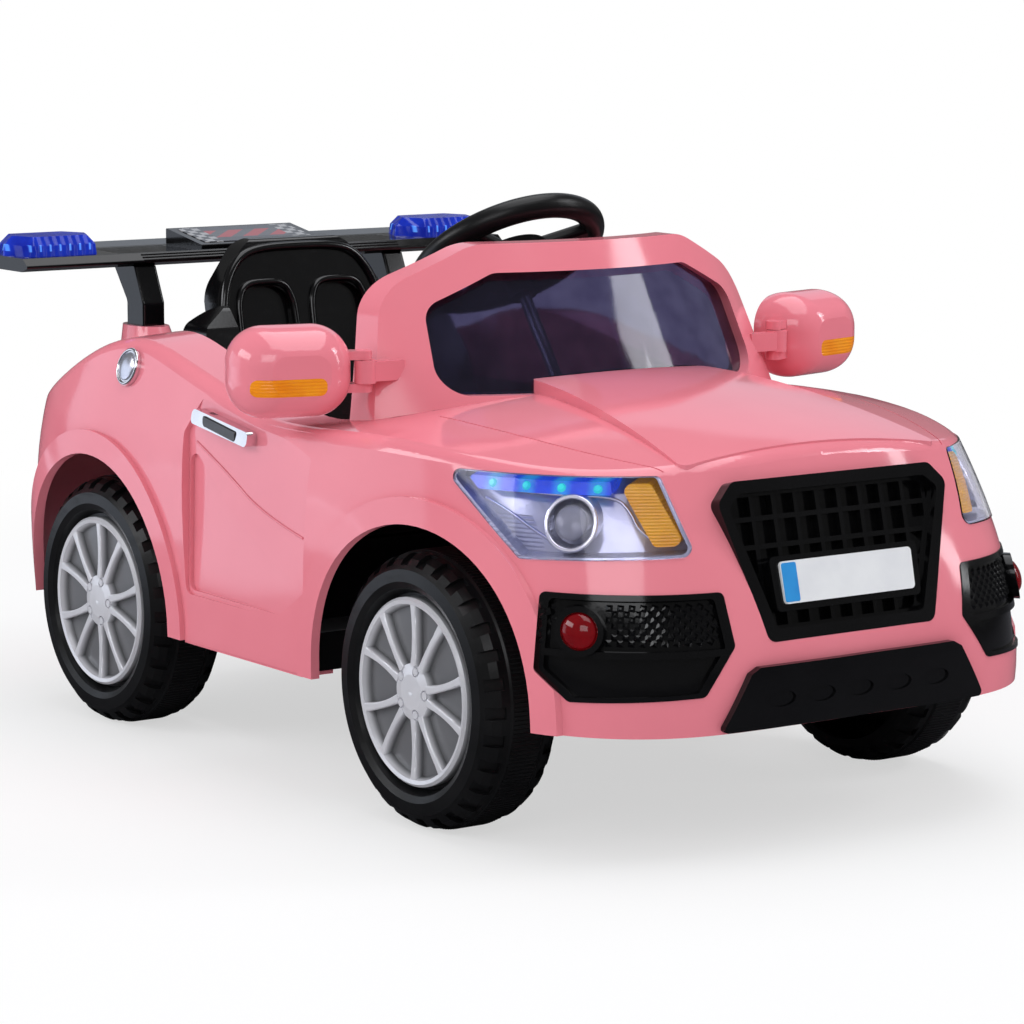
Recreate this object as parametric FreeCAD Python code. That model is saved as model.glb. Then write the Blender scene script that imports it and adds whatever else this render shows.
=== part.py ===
import FreeCAD, Part
import math
import os

V = FreeCAD.Vector
os.makedirs("parts", exist_ok=True)

# Driving dimensions, mm. X points to the nose, Y to the car's left, Z up, the ground at Z = 0.
FRONT_AXLE_X = 273.0
REAR_AXLE_X = -293.0
WHEEL_R = 125.0
WHEEL_WIDTH = 84.0
WHEEL_FACE_Y = 292.0
AXLE_R = 5.0
RUN_FIT = 0.05
HUBCAP_R = 85.0
WEB_Y = 14.0
DISH_Y = 11.8
LUG_COUNT = 30
LUG_GAP = 11.0
LUG_DEPTH = 5.0
NUT_R = 3.6
NUT_CIRCLE_R = 20.5

BODY_WALL = 4.0
BODY_LOW_Z = 115.0
SHOULDER_R = 16.0
MID_X = 20.0
# Plan outlines of the body: height, nose, half width, nose power, tail, tail power.
BODY_LEVELS = (
    (95.0, 536.0, 298.0, 4.4, -478.0, 8.0),
    (190.0, 536.0, 301.0, 4.2, -484.0, 8.0),
    (325.0, 496.0, 296.0, 3.2, -474.0, 7.0),
    (430.0, 436.0, 258.0, 3.0, -440.0, 6.0),
)
# Side view of the top: place along the car, height on the centre line, fall at the full width.
BODY_TOP = (
    (-520.0, 296.0, 15.0), (-430.0, 336.0, 15.0), (-380.0, 360.0, 15.0), (-310.0, 392.0, 15.0),
    (-250.0, 404.0, 12.0), (-198.0, 401.0, 10.0), (-70.0, 372.0, 5.0), (24.0, 350.0, 5.0),
    (84.0, 350.0, 8.0), (130.0, 362.0, 20.0), (177.0, 374.0, 31.0), (250.0, 376.0, 36.0),
    (330.0, 371.0, 40.0), (420.0, 360.0, 48.0), (492.0, 345.0, 50.0), (560.0, 322.0, 50.0),
)
ARCH_R = 152.0
ARCH_Z = 125.0
FRONT_ARCH_X = 283.0
REAR_ARCH_X = -281.0
LIP_WIDTH = 24.0
LIP_RISE = 5.0
COCKPIT = ((-398.0, 112.0), (-338.0, 204.0), (92.0, 236.0), (172.0, 108.0))
COCKPIT_R = 36.0

FLOOR_Z = 116.0
FLOOR_T = 6.0
TUB_WALL = 5.0
TUB_TOP_Z = 152.0
SILL_HALF = 284.0
REAR_HALF = 196.0
FRONT_HALF = 150.0

STEER_TILT = 36.0
STEER_CENTRE = V(13, 0, 483)
STEER_RIM_R = 88.0
STEER_TUBE_R = 12.0
STEER_RANGE = 36.0
KNUCKLE_RANGE = 18.0
COLUMN_R = 6.0
KINGPIN_Y = 192.0
KINGPIN_R = 5.0
ARM_LENGTH = 50.0
ARM_PIN_R = 4.0
TIE_Z = 103.0
TIE_T = 8.0
CRANK_PIN_R = 4.5
PIN_PLAY = 1.0
SLOT_BACK = 20.0

SCREEN_R = 320.0
SCREEN_CENTRE_X = 198.0
SCREEN_CENTRE_Z = 413.0
SCREEN_RAKE = 0.55
GLASS_T = 3.0
FRAME_T = 26.0

ROCKER_LONG = 14.2
ROCKER_WIDE = 9.8
ROCKER_PLAY = 1.3
ROCKER_PIN_R = 2.0
ROCKER_PIN_DROP = 3.5
HINGE_X = 131.0
HINGE_Y = 243.0
HINGE_LOW_Z = 376.0
HINGE_HIGH_Z = 414.0
HINGE_R = 4.0

WING_Z = 448.0
POST_Y = 155.0
POST_T = 26.0

NOSE_TILT = math.degrees(math.atan2(34.0, 138.0))
NOSE_CENTRE = V(512, 0, 257)
GRILLE_PITCH = 24.5
GRILLE_BAR = 4.5
LAMP = (V(317, -291, 330), V(469, -164, 332), V(501, -146, 266), V(412, -275, 261))
LAMP_ANGLE = 48.0
LAMP_DEPTH = 30.0
FOG = (V(519, -133.5, 236), V(529, -127, 190), V(528, -158, 149), V(457, -251, 145),
       V(436, -273, 170), V(440, -270, 236))
FOG_ANGLE = 38.0
FOG_LENS = V(464.5, -245.6, 206)
FOG_LENS_R = 16.0
FOG_LEDGE_Z = 186.0
CORNER_REACH = 640.0
CORNER_DEPTH = 290.0
DOME_REAR_X = 192.0
DOME_REAR_Y = 100.0
DOME_NOSE_X = 476.0
DOME_NOSE_Y = 146.0
DOME_RISE = 13.0
SEAM = ((206.0, -213.0), (300.0, -208.0), (390.0, -190.0), (468.0, -160.0))
SEAM_WIDTH = 1.5
PEDESTAL_Z = 387.0
DOOR = ((-104, 318), (-98, 162), (112, 162), (130, 430), (-20, 430))
DOOR_PANEL = ((-100, 308), (-96, 166), (99, 166), (112, 196), (52, 216), (-30, 258))
DOOR_FADE_X = 112.0
DOOR_STEP = 5.0
DOOR_SINK = 9.0
DOOR_FACE_Y = 301.0
DOOR_FACE_LEAN = 0.037
FLANGE_IN = 262.0
SCREW_X = (-80.0, 0.0, 72.0)
SCREW_Y = 272.0
SCREW_R = 2.5
GLASS = ((186, 372), (178, 450), (112, 480))
FRAME = ((275, 200), (207, 466), (122, 506))
FRAME_LOW_Z = 344.0
FRAME_R = 60.0
GLASS_R = 24.0
MIRROR_SWEEP = 14.0
MIRROR_CENTRE = V(98, -305, 396)
STEER_UP = V(-math.sin(math.radians(STEER_TILT)), 0, math.cos(math.radians(STEER_TILT)))
CRANK_OUT = V(math.cos(math.radians(STEER_TILT)), 0, math.sin(math.radians(STEER_TILT)))
CRANK_R = ARM_LENGTH * math.sin(math.radians(KNUCKLE_RANGE)) / math.sin(math.radians(STEER_RANGE))
TIE_X = FRONT_AXLE_X + ARM_LENGTH
COLUMN_END = 398.0
BUTTON_R = 9.0
JACK_R = 2.75
CABLE_R = 3.0
MOTOR_R = 18.0
MOTOR_X = REAR_AXLE_X + 58
MOTOR_Z = FLOOR_Z + FLOOR_T + MOTOR_R + 0.2
MOTOR_END_Y = REAR_HALF - TUB_WALL - 44 - 57
CONTROL_X = -235.0
BATTERY_X = (-180.0, -110.0)


def place(shape, x=0.0, y=0.0, z=0.0):
    moved = shape.copy()
    moved.translate(V(x, y, z))
    return moved


def mirrored(shape):
    """The same piece on the car's other side."""
    return shape.mirror(V(0, 0, 0), V(0, 1, 0))


def both(shape):
    return Part.makeCompound([shape, mirrored(shape)])


def box(x0, x1, y0, y1, z0, z1):
    return Part.makeBox(x1 - x0, y1 - y0, z1 - z0, V(x0, y0, z0))


def rounded_wire(points, radius):
    """Closed polygon whose corners are arcs of one radius."""
    edges = []
    ends = []
    count = len(points)
    for i in range(count):
        corner = points[i]
        to_last = (points[i - 1] - corner).normalize()
        to_next = (points[(i + 1) % count] - corner).normalize()
        half = to_last.getAngle(to_next) / 2
        cut = radius / math.tan(half)
        middle = (to_last + to_next).normalize() * (radius / math.sin(half) - radius)
        first = corner + to_last * cut
        last = corner + to_next * cut
        edges.append(Part.Arc(first, corner + middle, last).toShape())
        ends.append((first, last))
    loop = []
    for i in range(count):
        loop.append(edges[i])
        start, stop = ends[i][1], ends[(i + 1) % count][0]
        if (stop - start).Length > 1e-6:
            loop.append(Part.makeLine(start, stop))
    return Part.Wire(loop)


def rounded_prism(points, radius, run):
    return Part.Face(rounded_wire(points, radius)).extrude(run)


def side_prism(points, radius, y0, y1):
    """Prism across the car from a side view outline of (x, z) pairs."""
    return rounded_prism([V(x, y0, z) for x, z in points], radius, V(0, y1 - y0, 0))


def front_prism(points, radius, x0, x1):
    """Prism along the car from a front view outline of (y, z) pairs."""
    return rounded_prism([V(x0, y, z) for y, z in points], radius, V(x1 - x0, 0, 0))


def plan_prism(points, radius, z0, z1):
    return rounded_prism([V(x, y, z0) for x, y in points], radius, V(0, 0, z1 - z0))


def symmetric(points):
    """Outline from its positive half: the same points come back on the other side."""
    return list(points) + [(-a, b) for a, b in reversed(points)]


def cylinder(radius, start, stop):
    return Part.makeCylinder(radius, (stop - start).Length, start, stop - start)


def fillet(shape, radius, edges):
    return shape.makeFillet(radius, edges) if edges else shape


# Body form: plan outlines stacked in height, cut by the crowned top.

def quarter(power, count):
    """Points of a quarter superellipse at even steps of length, from (1, 0) to (0, 1)."""
    steps = 2000
    fine = []
    for i in range(steps + 1):
        t = math.pi / 2 * i / steps
        fine.append((abs(math.cos(t)) ** (2 / power), math.sin(t) ** (2 / power)))
    length = [0.0]
    for a, b in zip(fine, fine[1:]):
        length.append(length[-1] + math.hypot(b[0] - a[0], b[1] - a[1]))
    picked = []
    j = 0
    for k in range(count):
        while length[j] < length[-1] * k / count:
            j += 1
        picked.append(fine[j])
    return picked


def plan_wire(level, inset, z):
    height, nose, half, nose_power, tail, tail_power = level
    count = 8
    ahead = [(MID_X + (nose - MID_X - inset) * a, b) for a, b in quarter(nose_power, count)]
    behind = [(MID_X - (MID_X - tail - inset) * a, b) for a, b in quarter(tail_power, count)]
    loop = ahead + [(MID_X, 1.0)] + behind[:0:-1]
    loop += [(x, -b) for x, b in behind] + [(MID_X, -1.0)] + [(x, -b) for x, b in ahead[:0:-1]]
    curve = Part.BSplineCurve()
    curve.interpolate(Points=[V(x, b * (half - inset), z) for x, b in loop], PeriodicFlag=True,
                      Parameters=[float(i) for i in range(len(loop) + 1)])
    return Part.Wire([curve.toShape()])


def along_top(x, column):
    """Smooth curve through one column of the top table."""
    xs = [row[0] for row in BODY_TOP]
    ys = [row[column] for row in BODY_TOP]
    last = len(xs) - 1
    i = max(j for j in range(last) if x >= xs[j] or j == 0)

    def slope(j):
        a, b = max(0, j - 1), min(last, j + 1)
        return (ys[b] - ys[a]) / (xs[b] - xs[a])

    h = xs[i + 1] - xs[i]
    t = (x - xs[i]) / h
    return (ys[i] * (2 * t**3 - 3 * t**2 + 1) + h * slope(i) * (t**3 - 2 * t**2 + t)
            + ys[i + 1] * (3 * t**2 - 2 * t**3) + h * slope(i + 1) * (t**3 - t**2))


def top_height(x, y):
    return along_top(x, 1) - along_top(x, 2) * (y / 300.0) ** 2


FORMS = {}


def body_form(inset, low=0.0):
    """The body's solid form moved inwards by inset, its floor lowered by low."""
    if (inset, low) not in FORMS:
        wires = []
        for level in BODY_LEVELS:
            z = level[0] - low if level is BODY_LEVELS[0] else level[0]
            wires.append(plan_wire(level, inset, z))
        stack = Part.makeLoft(wires, True, False, False)
        if stack.Volume < 0:
            stack.reverse()
        grid = []
        for k in range(19):
            x = -520 + 60 * k
            grid.append([V(x, y, top_height(x, y) - inset) for y in (-330, -165, 0, 165, 330)])
        lid = Part.BSplineSurface()
        lid.interpolate(grid)
        FORMS[(inset, low)] = stack.cut(lid.toShape().extrude(V(0, 0, 300)))
    return FORMS[(inset, low)]


SKINS = {}


def skin(outside, inside):
    """Layer of the body form between two insets."""
    if (outside, inside) not in SKINS:
        SKINS[(outside, inside)] = body_form(outside).cut(body_form(inside, 10.0))
    return SKINS[(outside, inside)]


def shoulder_edges(shape):
    return [e for e in shape.Edges if e.BoundBox.ZMin > 200]


def horseshoe(x, radius, low, y0, y1):
    """Arch opening with straight legs, across the car."""
    left, right = V(x - radius, y0, ARCH_Z), V(x + radius, y0, ARCH_Z)
    foot_l, foot_r = V(x - radius, y0, low), V(x + radius, y0, low)
    arc = Part.Arc(left, V(x, y0, ARCH_Z + radius), right).toShape()
    loop = [arc, Part.makeLine(right, foot_r), Part.makeLine(foot_r, foot_l),
            Part.makeLine(foot_l, left)]
    return Part.Face(Part.Wire(loop)).extrude(V(0, y1 - y0, 0))


def nose_place(shape):
    """Takes a piece drawn about the origin, facing +X, to the leaning front face."""
    turned = shape.copy()
    turned.rotate(V(0, 0, 0), V(0, 1, 0), -NOSE_TILT)
    turned.translate(NOSE_CENTRE)
    return turned


def corner_axis(angle):
    return V(math.cos(math.radians(angle)), -math.sin(math.radians(angle)), 0)


def corner_prism(points, radius, angle, shrink=1.0):
    """Prism through the right front corner, square to a plan direction."""
    out = corner_axis(angle)
    middle = V(0, 0, 0)
    for p in points:
        middle = middle + p * (1.0 / len(points))
    flat = []
    for p in points:
        q = middle + (p - middle) * shrink
        flat.append(q + out * (CORNER_REACH - q.dot(out)))
    return rounded_prism(flat, radius, out * -CORNER_DEPTH)


lamp_prism = corner_prism(LAMP, 7, LAMP_ANGLE)
lamp_room = corner_prism(LAMP, 5, LAMP_ANGLE, 0.95)
fog_prism = corner_prism(FOG, 6, FOG_ANGLE)


def grille_outline(shrink):
    half = [(112 - shrink * 0.7, 70 - shrink), (130 - shrink, 52 - shrink * 0.4),
            (94 - shrink, -71 + shrink)]
    return symmetric(half)


def cockpit_prism(grow, z0, z1):
    (rear_x, rear_y), (deck_x, deck_y), (wide_x, wide_y), (front_x, front_y) = COCKPIT
    points = [(rear_x - grow, rear_y + grow * 0.5), (deck_x - grow * 0.5, deck_y + grow),
              (wide_x, wide_y + grow), (front_x + grow, front_y + grow * 0.5)]
    loop = points + [(x, -y) for x, y in reversed(points)]
    return plan_prism(loop, COCKPIT_R + grow, z0, z1)


def arch_lip(x):
    ring = horseshoe(x, ARCH_R + LIP_WIDTH, BODY_LOW_Z, -330, -150)
    ring = ring.cut(horseshoe(x, ARCH_R, BODY_LOW_Z - 30, -330, -150))
    return skin(-LIP_RISE, 1.0).common(ring)


def bonnet_dome():
    """Raised middle of the bonnet, tall at the windscreen and fading to the nose."""
    plan = ((DOME_REAR_X, DOME_REAR_Y), (DOME_NOSE_X, DOME_NOSE_Y))
    loop = list(plan) + [(x, -y) for x, y in reversed(plan)]
    block = plan_prism(loop, 8, 325, 460)
    grid = []
    for k in range(9):
        x = DOME_REAR_X - 10 + (DOME_NOSE_X - DOME_REAR_X + 20) * k / 8
        rise = DOME_RISE + (1.2 - DOME_RISE) * k / 8
        grid.append([V(x, y, top_height(x, y) + rise) for y in (-170, -85, 0, 85, 170)])
    lid = Part.BSplineSurface()
    lid.interpolate(grid)
    block = block.cut(lid.toShape().extrude(V(0, 0, 200)))
    return block.cut(body_form(2.0, 10.0))


def bonnet_seam():
    """Shut line between the bonnet and the right wing, from the windscreen's foot to the lamp."""
    line = Part.BSplineCurve()
    line.interpolate([V(x, y, 290) for x, y in SEAM])
    wall = line.toShape().extrude(V(0, 0, 160)).extrude(V(0, SEAM_WIDTH, 0))
    return wall.common(skin(-1.0, 2.0))


def pedestal():
    """Foot of a spoiler post, moulded on the rear deck."""
    rings = []
    for z, x, a, b in ((330, -412, 46, 32), (362, -416, 40, 26), (PEDESTAL_Z, -422, 34, 20)):
        rings.append(Part.Wire([Part.Ellipse(V(x, -POST_Y, z), a, b).toShape()]))
    return Part.makeLoft(rings, True, False, False).cut(body_form(2.0, 10.0))


def door_slice(sink):
    """Outside of a plane that leaves the right side at the door's front edge and sinks to its rear edge."""
    corners = []
    for x, z in ((-140, 140), (150, 140), (150, 440), (-140, 440)):
        y = -DOOR_FACE_Y + DOOR_FACE_LEAN * (z - 190) + sink * (DOOR_FADE_X - x) / (DOOR_FADE_X - DOOR[1][0])
        corners.append(V(x, y, z))
    return Part.Face(Part.makePolygon(corners + corners[:1])).extrude(V(0, -60, 0))


def build_body_shell():
    shell = body_form(0.0).cut(body_form(BODY_WALL, 10.0))
    shell = fillet(shell, SHOULDER_R, shoulder_edges(shell)[:1])
    shell = shell.cut(box(-700, 700, -400, 400, 50, BODY_LOW_Z))
    rim = cockpit_prism(BODY_WALL, 318, 460).common(body_form(0.5))
    lips = [arch_lip(FRONT_ARCH_X), arch_lip(REAR_ARCH_X)]
    foot = pedestal()
    liner = skin(BODY_WALL - 1, DOOR_SINK + BODY_WALL).common(box(-112, 118, -330, -230, 158, 340))
    extra = [rim, bonnet_dome(), foot, mirrored(foot), liner, mirrored(liner)]
    extra += lips + [mirrored(lip) for lip in lips]
    flange = box(-108, 104, -296, -FLANGE_IN, FLOOR_Z - 4, FLOOR_Z)
    shell = shell.fuse(extra + [flange, mirrored(flange)])
    cuts = [cockpit_prism(0, 200, 600)]
    for x in (FRONT_ARCH_X, REAR_ARCH_X):
        cuts.append(horseshoe(x, ARCH_R, 90, -340, 340))
    door = side_prism(DOOR, 10, -330, -230).common(door_slice(DOOR_STEP))
    door = door.fuse(side_prism(DOOR_PANEL, 10, -330, -230).common(door_slice(DOOR_SINK)))
    tail = skin(-2.0, 6.0).common(tail_prism())
    for piece in (lamp_prism, fog_prism, door, tail, bonnet_seam()):
        cuts += [piece, mirrored(piece)]
    cuts.append(nose_place(front_prism(grille_outline(0), 10, -60, 60)))
    for x in SCREW_X:
        for y in (-SCREW_Y, SCREW_Y):
            cuts.append(Part.makeCylinder(SCREW_R + RUN_FIT, 20, V(x, y, FLOOR_Z - 12)))
    return shell.cut(cuts)


def tail_prism():
    return front_prism(((-262, 318), (-178, 318), (-190, 268), (-258, 268)), 8, -530, -380)


def build_front_trim():
    """Grille, plate, lamps, fog panels, skid plate."""
    pieces = {}
    ring = front_prism(grille_outline(0), 10, -14, 7).cut(front_prism(grille_outline(11), 7, -20, 12))
    half = GRILLE_PITCH / 2 - GRILLE_BAR / 2
    pockets = []
    for i in range(-5, 6):
        for j in range(-3, 4):
            y, z = i * GRILLE_PITCH, j * GRILLE_PITCH
            pockets.append(box(-11, 30, y - half, y + half, z - half, z + half))
    field = front_prism(grille_outline(14), 6, -40, 40)
    lattice = front_prism(grille_outline(8), 8, -14, -3).cut(Part.makeCompound(pockets).common(field))
    panel = front_prism(((-84, 2), (84, 2), (82, -46), (-82, -46)), 5, -6, 8)
    pieces["grille"] = nose_place(ring.fuse([lattice, panel]))
    plate = front_prism(((-75, -3), (75, -3), (74, -40), (-74, -40)), 4, 8, 10.5)
    pieces["number_plate"] = nose_place(plate)

    out = corner_axis(LAMP_ANGLE)
    pieces["headlamp_lens"] = lamp_prism.common(skin(-1.0, 2.0))
    bowl = lamp_prism.common(skin(2.2, LAMP_DEPTH))
    bowl = bowl.cut(lamp_room.common(skin(1.0, LAMP_DEPTH - 3.0)))
    eye = V(432, -232, 291)
    tube = cylinder(24, eye + out * -60, eye + out * 60).cut(cylinder(20, eye + out * -60, eye + out * 70))
    bowl = bowl.fuse(tube.common(skin(8.0, LAMP_DEPTH - 2.0)))
    pieces["headlamp_housing"] = bowl
    bulb = cylinder(15, eye + out * -60, eye + out * 60)
    pieces["headlamp_bulb"] = bulb.common(skin(11.0, LAMP_DEPTH - 3.0))
    top_in, low_in = LAMP[1], LAMP[2]
    step = (LAMP[0] - LAMP[1]).normalize()
    amber = (top_in + step * 8 + V(0, 0, -7), low_in + step * 10 + V(0, 0, 8),
             low_in + step * 36 + V(0, 0, 8), top_in + step * 34 + V(0, 0, -7))
    pieces["front_indicator"] = corner_prism(amber, 6, LAMP_ANGLE).common(skin(5.0, LAMP_DEPTH - 3.0))
    strip = (top_in + step * 42 + V(0, 0, -6), top_in + step * 40 + V(0, 0, -17),
             LAMP[0] - step * 36 + V(0, 0, -17), LAMP[0] - step * 24 + V(0, 0, -6))
    pieces["led_strip"] = corner_prism(strip, 2, LAMP_ANGLE).common(skin(9.0, LAMP_DEPTH - 3.0)).cut(bowl)

    out = corner_axis(FOG_ANGLE)
    bore = cylinder(FOG_LENS_R + RUN_FIT, FOG_LENS - out * 60, FOG_LENS + out * 60)
    rim = cylinder(FOG_LENS_R + 5, FOG_LENS - out * 60, FOG_LENS + out * 60).common(skin(-6.0, 3.0))
    panel = fog_prism.common(skin(-1.0, 6.0))
    field = corner_prism(FOG, 5, FOG_ANGLE, 0.9).cut(box(300, 700, -400, 0, FOG_LEDGE_Z - 3, FOG_LEDGE_Z + 3))
    panel = panel.cut(field.common(skin(-2.0, 3.0)))
    pieces["fog_panel"] = panel.fuse(rim).cut(bore)
    glass = cylinder(FOG_LENS_R, FOG_LENS - out * 60, FOG_LENS + out * 60)
    pieces["fog_lens"] = glass.common(skin(-3.0, 4.0))
    skid = front_prism(symmetric(((110, 171), (120, 166), (150, 117))), 4, 440, 570)
    dents = []
    for i in range(-2, 3):
        dent = Part.Face(Part.Wire([Part.Ellipse(V(0, 0, 0), 15, 7).toShape()]))
        dent.rotate(V(0, 0, 0), V(0, 0, 1), 90)
        dent.rotate(V(0, 0, 0), V(0, 1, 0), 90)
        dents.append(place(dent.extrude(V(140, 0, 0)), 440, i * 44.0, 142))
    skid = skid.common(skin(-7.0, 0.0))
    pressed = skin(-8.0, -4.5).common(Part.makeCompound(dents))
    pieces["skid_plate"] = skid.cut(pressed)
    return pieces


def build_side_trim():
    pieces = {}
    grip = side_prism(((-80, 344), (-80, 330), (24, 317), (24, 331)), 5, -340, -240)
    handle = grip.common(skin(-9.0, DOOR_STEP)).common(door_slice(DOOR_STEP))
    hollow = side_prism(((-62, 342), (-62, 326), (8, 316), (8, 332)), 5, -340, -240)
    pieces["door_handle"] = handle.cut(hollow.common(skin(-4.5, 1.0)))
    cap_axis = V(0, -math.cos(math.radians(20)), math.sin(math.radians(20)))
    cap_at = V(-226, -280, 366)
    pieces["fuel_cap"] = cylinder(19, cap_at - cap_axis * 30, cap_at + cap_axis * 40).common(skin(-4.0, 0.0))
    pieces["tail_lamp"] = tail_prism().common(skin(-1.5, 6.0))
    return pieces


def screen_slab(outside, inside):
    """Raked layer on the windscreen's plan arc, between two offsets from its face."""
    low = 330.0
    centre = V(SCREEN_CENTRE_X - SCREEN_R + SCREEN_RAKE * (SCREEN_CENTRE_Z - low), 0, low)
    discs = [Part.Face(Part.Wire([Part.Circle(centre, V(0, 0, 1), SCREEN_R + d).toShape()]))
             for d in (outside, inside)]
    rise = 200.0
    slab = discs[0].cut(discs[1]).extrude(V(-SCREEN_RAKE * rise, 0, rise))
    return slab.common(box(-20, 400, -260, 260, 300, 560))


def grown(points, grow):
    return symmetric([(y + grow, z + grow * (1 if z > 400 else -1)) for y, z in points])


def hinge_barrel(gap):
    return Part.makeCylinder(10, HINGE_HIGH_Z - HINGE_LOW_Z - 16 - 2 * gap,
                             V(HINGE_X, -HINGE_Y, HINGE_LOW_Z + 8 + gap))


def build_windscreen():
    face = front_prism(symmetric(FRAME), FRAME_R, -40, 400).common(box(-40, 400, -300, 300, FRAME_LOW_Z, 600))
    frame = screen_slab(5.0, 5.0 - FRAME_T).common(face)
    block = frame
    dome = bonnet_dome()
    frame = frame.cut([front_prism(symmetric(GLASS), GLASS_R, -40, 400), body_form(0.0), dome])
    glass = screen_slab(-6.0, -6.0 - GLASS_T).common(front_prism(grown(GLASS, 5), GLASS_R + 5, -40, 400))
    glass = glass.cut([body_form(0.0), dome])
    frame = frame.cut(glass)
    arm = box(HINGE_X - 5, HINGE_X + 8, -HINGE_Y - 2, -205, HINGE_LOW_Z + 10, HINGE_HIGH_Z - 10)
    barrel = hinge_barrel(0.5).fuse(arm)
    barrel = barrel.cut(Part.makeCylinder(HINGE_R + RUN_FIT, 80, V(HINGE_X, -HINGE_Y, 350)))
    barrel = barrel.cut(block)
    solids = sorted(barrel.Solids, key=lambda b: b.Volume)
    frame = frame.fuse([solids[-1], mirrored(solids[-1])])
    frame = sorted(frame.Solids, key=lambda b: b.Volume)[-1]
    return {"windscreen_frame": frame, "windscreen": glass}


def build_mirror():
    """Right mirror: housing with hinge lugs and pin, glass and indicator."""
    rings = []
    for x, a, b in ((-22, 54, 39), (4, 57, 42), (28, 47, 33), (40, 28, 18)):
        loop = [V(x, y, z) for y, z in ((-a, b), (-a, -b), (a, -b), (a, b))]
        rings.append(rounded_wire(loop, b * 0.82))
    shell = Part.makeLoft(rings, True, False, False)
    if shell.Volume < 0:
        shell.reverse()
    pane_face = Part.Face(rings[0])
    scale = FreeCAD.Matrix()
    scale.scale(1.0, 0.9, 0.9)
    pane = pane_face.transformGeometry(scale).extrude(V(3, 0, 0))
    pocket = pane_face.transformGeometry(scale).extrude(V(7, 0, 0))
    shell = shell.cut(place(pocket, -0.01))
    pane = place(pane, 4.0)
    mark = front_prism(((-46, -3), (24, -3), (24, -19), (-46, -19)), 6.5, -10, 60)
    strip = mark.common(shell)
    front_skin = place(shell, -4.0)
    strip = strip.cut(front_skin)
    strip = sorted(strip.Solids, key=lambda b: b.Volume)[-1]
    shell = shell.cut(strip)
    sweep = MIRROR_SWEEP
    done = {}
    for name, piece in (("mirror_housing", shell), ("mirror_glass", pane), ("mirror_indicator", strip)):
        moved = piece.copy()
        moved.rotate(V(0, 0, 0), V(0, 0, 1), -sweep)
        moved.translate(MIRROR_CENTRE)
        done[name] = moved
    lugs = []
    for z0 in (HINGE_LOW_Z, HINGE_HIGH_Z - 8):
        plate = plan_prism(((HINGE_X + 9, -HINGE_Y + 8), (HINGE_X - 9, -HINGE_Y + 8),
                            (MIRROR_CENTRE.x - 10, MIRROR_CENTRE.y + 20),
                            (MIRROR_CENTRE.x + 16, MIRROR_CENTRE.y + 20)), 7.5, z0, z0 + 8)
        lugs.append(plate)
    lugs.append(Part.makeCylinder(HINGE_R, HINGE_HIGH_Z - HINGE_LOW_Z - 4,
                                  V(HINGE_X, -HINGE_Y, HINGE_LOW_Z + 2)))
    body = done["mirror_housing"].fuse(lugs)
    body = body.cut([done["mirror_glass"], done["mirror_indicator"]])
    done["mirror_housing"] = sorted(body.Solids, key=lambda b: b.Volume)[-1]
    return done


def build_spoiler():
    pieces = {}
    section = ((-412, WING_Z + 5), (-424, WING_Z + 14), (-512, WING_Z + 14), (-538, WING_Z + 18),
               (-545, WING_Z + 13), (-520, WING_Z), (-426, WING_Z))
    wing = side_prism(section, 2, -298, 298)
    slots = [box(-435 - 12 * k, -431 - 12 * k, y0, y1, WING_Z + 11, WING_Z + 30)
             for k in range(6) for y0, y1 in ((-182, -92), (92, 182))]
    pieces["spoiler_wing"] = wing.cut(slots)
    kink_z = PEDESTAL_Z + 24
    blade = side_prism(((-404, 360), (-404, kink_z), (-430, WING_Z + 20), (-484, WING_Z + 20), (-440, kink_z),
                        (-440, 360)), 8, -POST_Y - POST_T / 2, -POST_Y + POST_T / 2)
    blade = fillet(blade, 3, [e for e in blade.Edges if e.BoundBox.YLength < 0.1])
    pieces["spoiler_post"] = blade.common(box(-520, -380, -POST_Y - POST_T, -POST_Y + POST_T, PEDESTAL_Z, WING_Z))
    top = WING_Z + 14
    rings = []
    for z, shrink in ((0, 1.0), (11, 0.97), (20, 0.8)):
        loop = [(-35, -38), (-35, 40), (0, 53), (35, 40), (35, -38), (0, -53)]
        rings.append(rounded_wire([V(-470 + x * shrink, -243 - y * shrink, top + z) for x, y in loop], 3))
    pieces["beacon"] = Part.makeLoft(rings, True, True, False)
    pieces["sign_box"] = side_prism(((-436, top), (-436, top + 4), (-511, top + 17), (-511, top)),
                                    1.5, -78, 78)
    return pieces


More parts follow.
